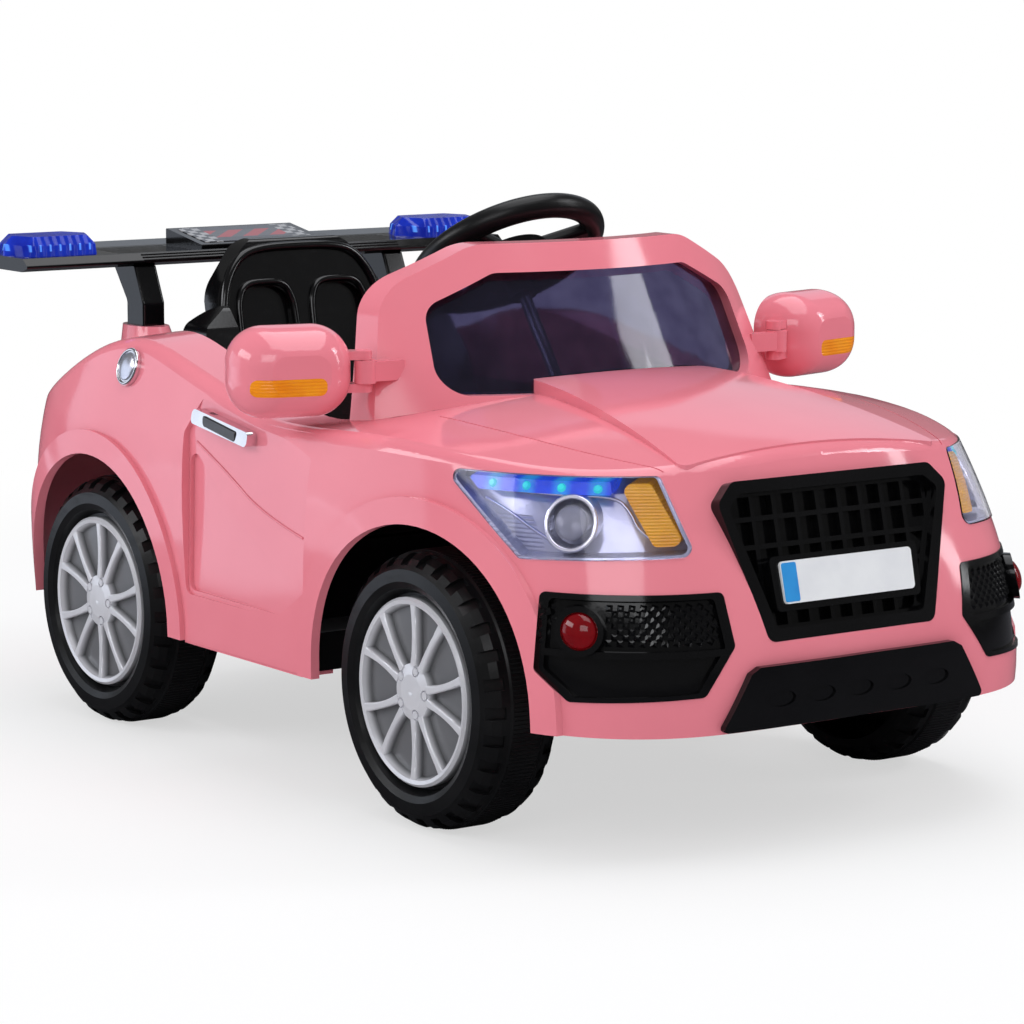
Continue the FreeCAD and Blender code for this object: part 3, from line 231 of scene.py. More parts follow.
# %% Moulded skin group
MOULDED_SKIN, given, result = new_group(
    "moulded_skin",
    (("Colour", "Color", WHITE), ("Shade", "Color", WHITE), ("Drift Scale", "Float", 6.0),
     ("Grain Scale", "Float", 900.0), ("Grain Height", "Float", 0.03), ("Roughness", "Float", 0.3),
     ("Rubbing", "Float", 0.05)),
    (("Colour", "Color"), ("Roughness", "Float"), ("Height", "Float")))
tree = MOULDED_SKIN
place = add_node(tree, "ShaderNodeTexCoord").outputs["Object"]
drift = fill(add_node(tree, "ShaderNodeTexNoise"), Detail=3.0)
tree.links.new(place, drift.inputs["Vector"])
tree.links.new(given["Drift Scale"], drift.inputs["Scale"])
spread = fill(add_node(tree, "ShaderNodeMapRange"), From_Min=0.35, From_Max=0.68)
tree.links.new(drift.outputs["Fac"], spread.inputs["Value"])
tree.links.new(blend_colours(tree, spread.outputs[0], given["Colour"], given["Shade"]), result["Colour"])
peel = fill(add_node(tree, "ShaderNodeTexNoise"), Detail=2.0)
tree.links.new(place, peel.inputs["Vector"])
tree.links.new(given["Grain Scale"], peel.inputs["Scale"])
tree.links.new(maths(tree, "MULTIPLY", peel.outputs["Fac"], given["Grain Height"]), result["Height"])
streaks = fill(add_node(tree, "ShaderNodeMapping"), Scale=(1.0, 2.2, 5.0), Rotation=(0.3, 0.5, 0.2))
tree.links.new(place, streaks.inputs["Vector"])
rub = fill(add_node(tree, "ShaderNodeTexNoise"), Scale=26.0, Detail=5.0, Roughness=0.7)
tree.links.new(streaks.outputs[0], rub.inputs["Vector"])
dull = fill(add_node(tree, "ShaderNodeMapRange"), From_Min=0.5, From_Max=0.8)
tree.links.new(rub.outputs["Fac"], dull.inputs["Value"])
worn = maths(tree, "MULTIPLY", dull.outputs[0], given["Rubbing"])
tree.links.new(maths(tree, "ADD", worn, given["Roughness"]), result["Roughness"])
print("group", MOULDED_SKIN.name, "nodes", len(MOULDED_SKIN.nodes))

# %% [markdown]
# ## Ribs in a lens
# Lamp lenses carry fine parallel ribs that spread the light. They could be cut as geometry, but
# at a pitch of a few millimetres a height for the Bump node gives the same glitter for far less.

# %% Lens rib group
LENS_RIBS, given, result = new_group(
    "lens_ribs",
    (("Direction", "Vector", (0.0, 0.0, 1.0)), ("Pitch", "Float", 0.002), ("Depth", "Float", 0.2)),
    (("Height", "Float"),))
tree = LENS_RIBS
place = add_node(tree, "ShaderNodeTexCoord").outputs["Object"]
along = add_node(tree, "ShaderNodeVectorMath", operation="DOT_PRODUCT")
tree.links.new(place, along.inputs[0])
tree.links.new(given["Direction"], along.inputs[1])
turns = maths(tree, "DIVIDE", along.outputs["Value"], given["Pitch"])
wave = maths(tree, "SINE", maths(tree, "MULTIPLY", turns, math.tau))
tree.links.new(maths(tree, "MULTIPLY", wave, given["Depth"]), result["Height"])
print("group", LENS_RIBS.name)

# %% [markdown]
# ## The plastics
# Pink, black and silver are all the same kind of moulding with another gloss, so one function
# places the group in a fresh material. What is the same all over, such as the coat, is set on the
# shader's own socket.

# %% Moulded plastic
def moulded(name, colour, shade, roughness, coat=0.0, grain=(900.0, 0.03), drift=6.0, rubbing=0.06,
            metallic=0.0, gloss=0.5):
    material = bpy.data.materials.new(name)
    material.use_nodes = True
    tree = material.node_tree
    shader = tree.nodes["Principled BSDF"]
    skin = add_node(tree, "ShaderNodeGroup", node_tree=MOULDED_SKIN, name="skin")
    fill(skin, Colour=(*colour, 1.0), Shade=(*shade, 1.0), Drift_Scale=drift, Grain_Scale=grain[0],
         Grain_Height=grain[1], Roughness=roughness, Rubbing=rubbing)
    bump = fill(add_node(tree, "ShaderNodeBump", name="relief"), Strength=1.0, Distance=0.001)
    tree.links.new(skin.outputs["Colour"], shader.inputs["Base Color"])
    tree.links.new(skin.outputs["Roughness"], shader.inputs["Roughness"])
    tree.links.new(skin.outputs["Height"], bump.inputs["Height"])
    tree.links.new(bump.outputs["Normal"], shader.inputs["Normal"])
    fill(shader, Coat_Weight=coat, Coat_Roughness=0.06, Metallic=metallic, Specular_IOR_Level=gloss)
    return material


def ribbed(material, direction, pitch, depth, where=None):
    """Adds fine parallel ribs to a moulding's own relief, all over or where a mask is 1."""
    tree = material.node_tree
    rows = add_node(tree, "ShaderNodeGroup", node_tree=LENS_RIBS)
    fill(rows, Direction=direction, Pitch=pitch, Depth=depth)
    height = rows.outputs["Height"]
    if where:
        height = maths(tree, "MULTIPLY", height, where)
    total = maths(tree, "ADD", tree.nodes["skin"].outputs["Height"], height)
    tree.links.new(total, tree.nodes["relief"].inputs["Height"])
    return material


def place_axes(tree):
    """The place on the car as three numbers."""
    axes = add_node(tree, "ShaderNodeSeparateXYZ")
    tree.links.new(add_node(tree, "ShaderNodeTexCoord").outputs["Object"], axes.inputs[0])
    return axes.outputs


pink_gloss = moulded("pink_gloss", (0.83, 0.24, 0.295), (0.8, 0.22, 0.275), 0.1, 0.1, (420.0, 0.012))
black_gloss = moulded("black_gloss", (0.002, 0.002, 0.0025), (0.004, 0.004, 0.0045), 0.12, 0.0, (500.0, 0.02),
                      gloss=0.35)
black_satin = moulded("black_satin", (0.004, 0.004, 0.0045), (0.007, 0.007, 0.0075), 0.32, 0.0, (1500.0, 0.05),
                      gloss=0.3)
seat_black = moulded("seat_black", (0.002, 0.002, 0.0025), (0.0035, 0.0035, 0.004), 0.13, 0.0, (300.0, 0.02))
tyre_black = moulded("tyre_black", (0.004, 0.004, 0.0045), (0.008, 0.008, 0.0085), 0.3, 0.0, (700.0, 0.08), 14.0, 0.2,
                     gloss=0.28)
print("plastics", [m.name for m in (pink_gloss, black_gloss, black_satin, seat_black, tyre_black)])

# %% [markdown]
# ## Silver, chrome and steel
# The wheel covers are plastic with silver lacquer, so they are metallic but soft. The handles and
# the filler cap are plated and bright. Rods and screws are plain steel. The lamp bowl has flutes in
# its lower outer corner only, so its ribs are limited by place.

# %% Metals
UPRIGHT = (0.0, 0.0, 1.0)
ACROSS = (0.0, 1.0, 0.0)
FLUTES_FROM_Y = 0.2325
FLUTES_TO_Z = 0.292
silver_lacquer = moulded("silver_lacquer", (0.74, 0.74, 0.78), (0.66, 0.66, 0.7), 0.3, 0.3, (2600.0, 0.02), 20.0,
                         0.1, 0.25)
lamp_silver = moulded("lamp_silver", (0.66, 0.67, 0.76), (0.56, 0.57, 0.68), 0.22, 0.0, (500.0, 0.02), 30.0, 0.05,
                      0.85)
lamp_bowl = moulded("lamp_bowl", (0.5, 0.52, 0.62), (0.4, 0.42, 0.54), 0.18, 0.3, (500.0, 0.02), 30.0, 0.05, 0.4)
tree = lamp_bowl.node_tree
axes = place_axes(tree)
outer = maths(tree, "GREATER_THAN", maths(tree, "ABSOLUTE", axes["Y"]), FLUTES_FROM_Y)
lower = maths(tree, "LESS_THAN", axes["Z"], FLUTES_TO_Z)
ribbed(lamp_bowl, UPRIGHT, 0.0036, 0.3, maths(tree, "MULTIPLY", outer, lower))
bright_plate = moulded("bright_plate", (0.82, 0.82, 0.84), (0.7, 0.7, 0.73), 0.12, 0.0, (300.0, 0.02), 25.0, 0.1, 1.0)
silvered = moulded("silvered", (0.9, 0.91, 0.93), (0.86, 0.87, 0.9), 0.03, 0.0, (60.0, 0.004), 8.0, 0.03, 1.0)
steel = moulded("steel", (0.46, 0.46, 0.48), (0.34, 0.34, 0.36), 0.34, 0.0, (1800.0, 0.04), 30.0, 0.2, 1.0)
zinc = moulded("zinc", (0.5, 0.51, 0.53), (0.4, 0.42, 0.46), 0.4, 0.0, (140.0, 0.05), 60.0, 0.2, 0.9)
print("metals", [m.name for m in (silver_lacquer, lamp_silver, bright_plate, silvered, steel, zinc)])

# %% [markdown]
# ## Painted shade in the wheel covers
# The dish behind the spokes is given a darker silver: painted shade, as less light falls into it. The covers
# all lie the same distance from the middle of the car, so the distance alone tells dish from spoke.

# %% Wheel cover painted shade
DISH_SHADE_SILVER = (0.17, 0.172, 0.182, 1.0)
cover_face = -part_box("hubcap_front_right")[0].y
tree = silver_lacquer.node_tree
# painted shade: the deeper the silver lies in the cover, the darker it is painted
dish_shade = fill(add_node(tree, "ShaderNodeMapRange", interpolation_type="SMOOTHSTEP"), From_Min=cover_face - 0.009,
            From_Max=cover_face - 0.0022)
tree.links.new(maths(tree, "ABSOLUTE", place_axes(tree)["Y"]), dish_shade.inputs["Value"])
tree.links.new(blend_colours(tree, dish_shade.outputs[0], DISH_SHADE_SILVER, tree.nodes["skin"].outputs["Colour"]),
               tree.nodes["Principled BSDF"].inputs["Base Color"])
print("wheel covers shaded from", round(cover_face, 4))

# %% [markdown]
# ## Small mouldings
# Motor cases, battery, cables and buttons sit out of sight or are only a few millimetres wide.
# They still get their own plastic, each a little duller or smoother than the next.

# %% Small mouldings
case_black = moulded("case_black", (0.03, 0.03, 0.034), (0.05, 0.05, 0.055), 0.5, 0.0, (1200.0, 0.08), 20.0, 0.15)
battery_grey = moulded("battery_grey", (0.11, 0.115, 0.13), (0.15, 0.155, 0.17), 0.5, 0.0, (800.0, 0.08), 20.0, 0.15)
cable_black = moulded("cable_black", (0.015, 0.014, 0.014), (0.03, 0.028, 0.028), 0.5, 0.0, (400.0, 0.1), 60.0, 0.2)
button_red = moulded("button_red", (0.55, 0.02, 0.025), (0.45, 0.015, 0.02), 0.3, 0.3, (900.0, 0.03), 60.0, 0.1)
horn_black = moulded("horn_black", (0.02, 0.02, 0.022), (0.03, 0.03, 0.033), 0.32, 0.2, (900.0, 0.05), 40.0, 0.1)
strip_blue = moulded("strip_blue", (0.008, 0.05, 0.5), (0.005, 0.03, 0.36), 0.25, 0.2, (600.0, 0.02), 90.0, 0.05)
plate_white = moulded("plate_white", (0.82, 0.83, 0.85), (0.76, 0.77, 0.8), 0.28, 0.2, (500.0, 0.02), 30.0, 0.1)
plate_blue = moulded("plate_blue", (0.02, 0.3, 0.72), (0.02, 0.26, 0.66), 0.3, 0.2, (500.0, 0.02), 60.0, 0.1)
print("small mouldings ready")

# %% [markdown]
# ## Glass and lenses
# Clear covers are thin and let almost all light through. Coloured lenses are dyed plastic: part
# of the light passes, part scatters back in the dye's colour. A dyed lens gets its ribs from the
# rib group, and a faint drift of colour from the moulding group.

# %% Lenses
def lens(name, colour, shade, transmission, roughness=0.06, ribs=None, glow=0.0, index=1.45):
    material = moulded(name, colour, shade, roughness, 0.0, (500.0, 0.01), 40.0, 0.05)
    tree = material.node_tree
    shader = tree.nodes["Principled BSDF"]
    fill(shader, Transmission_Weight=transmission, IOR=index)
    if ribs:
        ribbed(material, *ribs)
    if glow:
        tree.links.new(tree.nodes["skin"].outputs["Colour"], shader.inputs["Emission Color"])
        fill(shader, Emission_Strength=glow)
    return material


smoked = lens("smoked", (0.075, 0.07, 0.15), (0.05, 0.045, 0.11), 0.9, 0.05)
clear = lens("clear", (0.93, 0.92, 0.99), (0.88, 0.87, 0.98), 1.0, 0.03, index=1.3)
bulb_glass = lens("bulb_glass", (0.86, 0.88, 0.95), (0.75, 0.78, 0.88), 0.7, 0.08)
amber = lens("amber", (0.95, 0.36, 0.01), (0.88, 0.27, 0.005), 0.25, 0.18, (UPRIGHT, 0.003, 0.25), 0.12)
indicator = lens("indicator", (0.88, 0.42, 0.003), (0.8, 0.35, 0.002), 0.15, 0.15, (UPRIGHT, 0.0026, 0.2), 0.1)
red_dyed = lens("red_dyed", (0.5, 0.012, 0.018), (0.38, 0.008, 0.012), 0.35, 0.1, (UPRIGHT, 0.004, 0.12), 0.04)
blue_dyed = lens("blue_dyed", (0.012, 0.05, 0.72), (0.005, 0.02, 0.45), 0.45, 0.1, (ACROSS, 0.009, 0.5), 0.1)
red_dome = lens("red_dome", (0.3, 0.004, 0.009), (0.22, 0.003, 0.007), 0.45, 0.05, None, 0.02)
led_green = lens("led_green", (0.03, 0.72, 0.66), (0.03, 0.6, 0.7), 0.1, 0.2, None, 0.4)
print("lenses ready")

# %% [markdown]
# ## Painted glints in the beacons
# Bright dashes are painted into each blue dome: painted glints, a glow that comes and goes
# along the dome, kept to its lower half. The whole dome also has a faint glow.

# %% Beacon glints
GLINT_PITCH = 0.0115
GLINT_Z = 0.4705
GLINT_HALF = 0.0035
GLINT_BLUE = (0.12, 0.4, 1.0, 1.0)
GLINT_GLOW = 0.55
DOME_GLOW = 0.14
tree = blue_dyed.node_tree
axes = place_axes(tree)
# painted glints: bright dashes in steps along the dome, in a thin band low on it
pitch = maths(tree, "FRACT", maths(tree, "DIVIDE", axes["Y"], GLINT_PITCH))
dash = fill(add_node(tree, "ShaderNodeMapRange", interpolation_type="SMOOTHSTEP"), From_Min=0.05, From_Max=0.16,
            To_Min=1.0, To_Max=0.0)
tree.links.new(maths(tree, "ABSOLUTE", maths(tree, "SUBTRACT", pitch, 0.5)), dash.inputs["Value"])
band = maths(tree, "LESS_THAN", maths(tree, "ABSOLUTE", maths(tree, "SUBTRACT", axes["Z"], GLINT_Z)), GLINT_HALF)
shine = maths(tree, "MULTIPLY", dash.outputs[0], band)
shader = tree.nodes["Principled BSDF"]
tree.links.new(blend_colours(tree, shine, tree.nodes["skin"].outputs["Colour"], GLINT_BLUE),
               shader.inputs["Emission Color"])
tree.links.new(maths(tree, "ADD", maths(tree, "MULTIPLY", shine, GLINT_GLOW), DOME_GLOW),
               shader.inputs["Emission Strength"])
print("beacon glints in", blue_dyed.name)

# %% [markdown]
# ## Dress the mouldings
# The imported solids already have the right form, so they keep it and only take a finish. A table
# from finish to pieces is easier to read than sixty assignments.

# %% Dress
SIDES = ("right", "left")
SIGNS = tuple(zip(SIDES, (-1, 1)))
WHEELS = [end + "_" + side for end in ("front", "rear") for side in SIDES]


def sided(*stems):
    return [stem + "_" + side for stem in stems for side in SIDES]


DRESS = (
    (pink_gloss, ["body_shell", "windscreen_frame"] + sided("mirror_housing")),
    (black_gloss, ["grille", "skid_plate", "spoiler_wing", "spoiler_posts", "direction_switch", "sign_box"]
     + sided("fog_panel")),
    (black_satin, ["chassis_tub", "dashboard", "column_bush", "steering_wheel", "accelerator_pedal", "pedal_base"]),
    (seat_black, ["seat"]),
    (tyre_black, ["wheel_" + w for w in WHEELS]),
    (silver_lacquer, ["hubcap_" + w for w in WHEELS]),
    (lamp_bowl, sided("headlamp_housing")),
    (bright_plate, ["door_handles", "fuel_cap", "charge_socket"]),
    (silvered, sided("mirror_glass")),
    (steel, ["front_beam", "tie_rod", "steering_column", "rear_axle", "sill_screws"] + sided("knuckle")),
    (zinc, ["drive_motors"]),
    (case_black, ["gearboxes", "control_box"]),
    (battery_grey, ["battery"]),
    (cable_black, ["wiring"]),
    (button_red, ["power_button"]),
    (horn_black, ["horn_button"]),
    (smoked, ["windscreen"]),
    (clear, sided("headlamp_lens")),
    (bulb_glass, ["headlamp_bulbs"]),
    (indicator, ["front_indicators"]),
    (amber, sided("mirror_indicator")),
    (red_dyed, ["fog_lenses", "tail_lamps"]),
    (blue_dyed, ["beacons"]),
    (strip_blue, ["led_strips"]),
    (plate_white, ["number_plate"]),
)
dressed = set()
for finish, names in DRESS:
    for name in names:
        NODES[name].data.materials.clear()
        NODES[name].data.materials.append(finish)
        dressed.add(name)
print("dressed", len(dressed), "left bare", sorted(set(NODES) - dressed))

# %% [markdown]
# ## Repeats with Geometry Nodes
# Ribs, studs and lamps repeat by a rule, so each set is one node tree with named sizes. The tree
# is run once on an empty object, the result is kept as a plain mesh, and the modifier goes.

# %% Growing a repeat
def new_growth(name, inputs):
    tree = bpy.data.node_groups.new(name, "GeometryNodeTree")
    for label, kind, value in inputs:
        socket = tree.interface.new_socket(label, in_out="INPUT", socket_type="NodeSocket" + kind)
        if value is not None:
            socket.default_value = value
    tree.interface.new_socket("Geometry", in_out="OUTPUT", socket_type="NodeSocketGeometry")
    return tree, tree.nodes.new("NodeGroupInput").outputs, tree.nodes.new("NodeGroupOutput").inputs


def end_growth(tree, instances, material, result):
    """Every tree ends the same way: real geometry, then its material."""
    real = add_node(tree, "GeometryNodeRealizeInstances")
    paint = add_node(tree, "GeometryNodeSetMaterial")
    fill(paint, Material=material)
    tree.links.new(instances, real.inputs[0])
    tree.links.new(real.outputs[0], paint.inputs[0])
    tree.links.new(paint.outputs[0], result["Geometry"])


def grow(name, tree, values, body):
    piece = bpy.data.objects.new(name, bpy.data.meshes.new(name))
    bpy.context.scene.collection.objects.link(piece)
    modifier = piece.modifiers.new("growth", "NODES")
    modifier.node_group = tree
    keys = {s.name: s.identifier for s in tree.interface.items_tree if s.in_out == "INPUT"}
    for label, value in values.items():
        modifier[keys[label]] = value
    seen = piece.evaluated_get(bpy.context.evaluated_depsgraph_get())
    mesh = bpy.data.meshes.new_from_object(seen)
    piece.modifiers.clear()
    piece.data = mesh
    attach(piece, body)
    print(name, "faces", len(mesh.polygons))
    return piece


print("growing helpers ready")

# %% [markdown]
# ## The grip band of the tyres
# A softer band with fine cross ribs runs round the middle of each tread. The ribs are six-sided
# rods, half sunk in the tread, set round a circle by their index.

# %% Grip ribs
WHEEL_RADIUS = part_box("wheel_front_right")[1].z / 2
GRIP, given, result = new_growth(
    "grip_ribs", (("Centre", "Vector", (0.0, 0.0, 0.0)), ("Radius", "Float", WHEEL_RADIUS),
                  ("Count", "Int", 200), ("Width", "Float", 0.03), ("Thickness", "Float", 0.0024)))
tree = GRIP
index = add_node(tree, "GeometryNodeInputIndex").outputs[0]
angle = maths(tree, "MULTIPLY", maths(tree, "DIVIDE", index, given["Count"]), math.tau)
spoke = add_node(tree, "ShaderNodeCombineXYZ")
tree.links.new(maths(tree, "MULTIPLY", maths(tree, "COSINE", angle), given["Radius"]), spoke.inputs["X"])
tree.links.new(maths(tree, "MULTIPLY", maths(tree, "SINE", angle), given["Radius"]), spoke.inputs["Z"])
spot = add_node(tree, "ShaderNodeVectorMath", operation="ADD")
tree.links.new(spoke.outputs[0], spot.inputs[0])
tree.links.new(given["Centre"], spot.inputs[1])
ring = add_node(tree, "GeometryNodePoints")
tree.links.new(given["Count"], ring.inputs["Count"])
tree.links.new(spot.outputs[0], ring.inputs["Position"])
rod = fill(add_node(tree, "GeometryNodeMeshCylinder"), Vertices=6)
tree.links.new(maths(tree, "MULTIPLY", given["Thickness"], 0.5), rod.inputs["Radius"])
tree.links.new(given["Width"], rod.inputs["Depth"])
lay = add_node(tree, "ShaderNodeCombineXYZ")
lay.inputs["X"].default_value = math.pi / 2
tree.links.new(maths(tree, "MULTIPLY", angle, -1.0), lay.inputs["Y"])
copies = add_node(tree, "GeometryNodeInstanceOnPoints")
tree.links.new(ring.outputs[0], copies.inputs["Points"])
tree.links.new(rod.outputs["Mesh"], copies.inputs["Instance"])
tree.links.new(lay.outputs[0], copies.inputs["Rotation"])
end_growth(tree, copies.outputs[0], tyre_black, result)
for wheel in WHEELS:
    low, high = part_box("wheel_" + wheel)
    grow("grip_ribs_" + wheel, GRIP, {"Centre": (low + high) / 2, "Radius": WHEEL_RADIUS - 0.0006},
         "wheel_" + wheel)

# %% [markdown]
# ## Setting things on a curved panel
# The front corner is curved, so studs and lamps that sit on it need its surface. A ray shot at
# the panel from in front gives both the place and the direction. This tree drops a flat grid on
# whatever panel it is given, turns it by its own angle, and keeps what lands inside the limits.

# %% Studs on a panel
def stud_tree(name, cone_sides, material):
    tree, given, result = new_growth(
        name, (("Panel", "Object", None), ("Start", "Vector", (0.0, 0.0, 0.0)), ("Aim", "Vector", (0.0, 0.0, 0.0)),
               ("Wide", "Float", 0.1), ("Tall", "Float", 0.04), ("Columns", "Int", 10), ("Rows", "Int", 5),
               ("Slant", "Float", 0.0), ("Foot", "Float", 0.004), ("Top", "Float", 0.001), ("Height", "Float", 0.002),
               ("Low", "Float", 0.0), ("High", "Float", 1.0), ("Inner", "Float", 0.0),
               ("Gap Centre", "Vector", (0.0, 0.0, -9.0)), ("Gap", "Float", 0.0)))
    grid = add_node(tree, "GeometryNodeMeshGrid")
    for label, socket in (("Wide", "Size X"), ("Tall", "Size Y"), ("Columns", "Vertices X"), ("Rows", "Vertices Y")):
        tree.links.new(given[label], grid.inputs[socket])
    twist = add_node(tree, "ShaderNodeCombineXYZ")
    tree.links.new(given["Slant"], twist.inputs["Z"])
    flat = add_node(tree, "GeometryNodeTransform")
    tree.links.new(grid.outputs["Mesh"], flat.inputs["Geometry"])
    tree.links.new(twist.outputs[0], flat.inputs["Rotation"])
    face = add_node(tree, "FunctionNodeAlignRotationToVector", axis="Z", pivot_axis="AUTO")
    tree.links.new(given["Aim"], face.inputs["Vector"])
    stood = add_node(tree, "GeometryNodeTransform")
    tree.links.new(flat.outputs[0], stood.inputs["Geometry"])
    tree.links.new(given["Start"], stood.inputs["Translation"])
    tree.links.new(face.outputs[0], stood.inputs["Rotation"])
    panel = add_node(tree, "GeometryNodeObjectInfo", transform_space="RELATIVE")
    tree.links.new(given["Panel"], panel.inputs["Object"])
    ray = add_node(tree, "GeometryNodeRaycast")
    fill(ray, Ray_Length=0.3)
    tree.links.new(panel.outputs["Geometry"], ray.inputs[0])
    inward = add_node(tree, "ShaderNodeVectorMath", operation="SCALE")
    inward.inputs["Scale"].default_value = -1.0
    tree.links.new(given["Aim"], inward.inputs[0])
    tree.links.new(inward.outputs[0], ray.inputs["Ray Direction"])
    height = add_node(tree, "ShaderNodeSeparateXYZ")
    tree.links.new(ray.outputs["Hit Position"], height.inputs[0])
    away = add_node(tree, "ShaderNodeVectorMath", operation="DISTANCE")
    tree.links.new(ray.outputs["Hit Position"], away.inputs[0])
    tree.links.new(given["Gap Centre"], away.inputs[1])
    kept = maths(tree, "MULTIPLY", maths(tree, "GREATER_THAN", height.outputs["Z"], given["Low"]),
                 maths(tree, "LESS_THAN", height.outputs["Z"], given["High"]))
    kept = maths(tree, "MULTIPLY", kept, maths(tree, "GREATER_THAN", away.outputs["Value"], given["Gap"]))
    outside = maths(tree, "GREATER_THAN", maths(tree, "ABSOLUTE", height.outputs["Y"]), given["Inner"])
    kept = maths(tree, "MULTIPLY", maths(tree, "MULTIPLY", kept, outside), ray.outputs["Is Hit"])
    normal = add_node(tree, "GeometryNodeCaptureAttribute", domain="POINT")
    normal.capture_items.new("VECTOR", "Normal")
    normal.capture_items.new("FLOAT", "Kept")
    tree.links.new(stood.outputs[0], normal.inputs[0])
    tree.links.new(ray.outputs["Hit Normal"], normal.inputs["Normal"])
    tree.links.new(kept, normal.inputs["Kept"])
    landed = add_node(tree, "GeometryNodeSetPosition")
    tree.links.new(normal.outputs[0], landed.inputs["Geometry"])
    tree.links.new(ray.outputs["Hit Position"], landed.inputs["Position"])
    stud = fill(add_node(tree, "GeometryNodeMeshCone"), Vertices=cone_sides)
    tree.links.new(given["Foot"], stud.inputs["Radius Bottom"])
    tree.links.new(given["Top"], stud.inputs["Radius Top"])
    tree.links.new(given["Height"], stud.inputs["Depth"])
    upright = add_node(tree, "FunctionNodeAlignRotationToVector", axis="Z", pivot_axis="AUTO")
    tree.links.new(normal.outputs["Normal"], upright.inputs["Vector"])
    copies = add_node(tree, "GeometryNodeInstanceOnPoints")
    tree.links.new(landed.outputs[0], copies.inputs["Points"])
    tree.links.new(stud.outputs["Mesh"], copies.inputs["Instance"])
    tree.links.new(upright.outputs[0], copies.inputs["Rotation"])
    tree.links.new(normal.outputs["Kept"], copies.inputs["Selection"])
    end_growth(tree, copies.outputs[0], material, result)
    return tree


LAMP_ANGLE, FOG_ANGLE = 48.0, 38.0


def on_side(spot, sign):
    """A place given for the car's left, moved to the side of the sign."""
    return Vector((spot[0], sign * spot[1], spot[2]))


def corner_aim(degrees, sign):
    """Plan direction out of a front corner: right for -1, left for +1."""
    return Vector((math.cos(math.radians(degrees)), sign * math.sin(math.radians(degrees)), 0.0))


def level_slant(aim):
    """The turn that lays the grid's second direction level on a panel."""
    return math.atan2(aim.y, aim.x)


print("stud trees ready")

# %% [markdown]
# ## The diamond mesh of the fog panels
# Beside each red lamp the panel is pressed into small diamonds. Four-sided cones on a slanted
# grid give them, left out round the lamp.

# %% Fog panel diamonds
DIAMONDS = stud_tree("fog_diamonds", 4, black_gloss)
FOG_LOW, FOG_HIGH = 0.192, 0.229
FOG_LAMP = (0.4645, 0.2456, 0.206)
FOG_MIDDLE = (0.492, 0.186, 0.21)
for side, sign in SIGNS:
    aim = corner_aim(FOG_ANGLE, sign)
    lamp = on_side(FOG_LAMP, sign)
    middle = on_side(FOG_MIDDLE, sign)
    grow("fog_diamonds_" + side, DIAMONDS,
         {"Panel": NODES["fog_panel_" + side], "Start": middle + aim * 0.12, "Aim": aim, "Wide": 0.156, "Tall": 0.156,
          "Columns": 24, "Rows": 24, "Slant": level_slant(aim) + math.radians(45.0), "Foot": 0.0042, "Top": 0.0012,
          "Height": 0.0018, "Low": FOG_LOW, "High": FOG_HIGH, "Inner": 0.142, "Gap Centre": lamp, "Gap": 0.027},
         "car_body")

# %% [markdown]
# ## The blue lamp strips
# Four green lamps shine in the blue strip along the top of each headlamp, and the strip glows
# round them. The glow is measured along the strip, from its middle, in steps of one lamp.

# %% Strip glow
LED_PITCH = 0.032
STRIP_MIDDLE = (0.392, 0.2284, 0.3195)
STRIP_RUN = (-0.767, 0.641)
STRIP_BLUE = (0.006, 0.06, 0.75, 1.0)
HALO_BLUE = (0.02, 0.42, 0.85, 1.0)
tree = strip_blue.node_tree
axes = place_axes(tree)
run = maths(tree, "ADD", maths(tree, "MULTIPLY", axes["X"], STRIP_RUN[0]),
            maths(tree, "MULTIPLY", maths(tree, "ABSOLUTE", axes["Y"]), STRIP_RUN[1]))
middle_run = STRIP_RUN[0] * STRIP_MIDDLE[0] + STRIP_RUN[1] * STRIP_MIDDLE[1]
step = maths(tree, "FRACT", maths(tree, "DIVIDE", maths(tree, "SUBTRACT", run, middle_run), LED_PITCH))
halo = fill(add_node(tree, "ShaderNodeMapRange", interpolation_type="SMOOTHSTEP"), From_Min=0.08, From_Max=0.34,
            To_Min=1.0, To_Max=0.0)
tree.links.new(maths(tree, "ABSOLUTE", maths(tree, "SUBTRACT", step, 0.5)), halo.inputs["Value"])
shader = tree.nodes["Principled BSDF"]
tree.links.new(blend_colours(tree, halo.outputs[0], STRIP_BLUE, HALO_BLUE),
               shader.inputs["Emission Color"])
fill(shader, Emission_Strength=0.55)
print("strip glow in", strip_blue.name)

# %% [markdown]
# ## The lamps in the strip
# Each lamp is a low dome. The panel tree that set the diamonds sets these too, with a grid of one
# column, so they follow the strip's own face.

# %% Strip lamps
STRIP_LAMPS = stud_tree("strip_lamps", 14, led_green)
for side, sign in SIGNS:
    aim = corner_aim(LAMP_ANGLE, sign)
    middle = on_side(STRIP_MIDDLE, sign)
    grow("strip_lamps_" + side, STRIP_LAMPS,
         {"Panel": NODES["led_strips"], "Start": middle + aim * 0.1, "Aim": aim, "Wide": 0.0001, "Tall": 3 * LED_PITCH,
          "Columns": 2, "Rows": 4, "Slant": level_slant(aim), "Foot": 0.004, "Top": 0.0026, "Height": 0.0024},
         "car_body")

# %% [markdown]
# ## Rings and domes on curved faces
# Lamps and caps are finished with a bright ring or a clear dome. The face under them is curved, so
# a ring drawn flat would dip into it. Rays shot from in front find the face all the way round.
# Python's own ray tree does this well for a single ring, where a node tree would be longer.

# %% Rings and domes
def face_of(node):
    mesh = NODES[node].data
    return BVHTree.FromPolygons([v.co for v in mesh.vertices], [tuple(p.vertices) for p in mesh.polygons])


def landing(tree, spot, out):
    """The point of the face that lies under a spot, seen from outside."""
    return tree.ray_cast(spot + out * 0.08, -out)[0] or spot


def across_of(out):
    side = Vector((0.0, 0.0, 1.0)).cross(out).normalized()
    return side, out.cross(side)


def keep(piece, finish, body):
    """A mesh piece takes its finish, its smooth shading and its body."""
    piece.data.materials.append(finish)
    for face in piece.data.polygons:
        face.use_smooth = True
    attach(piece, body)
    return piece


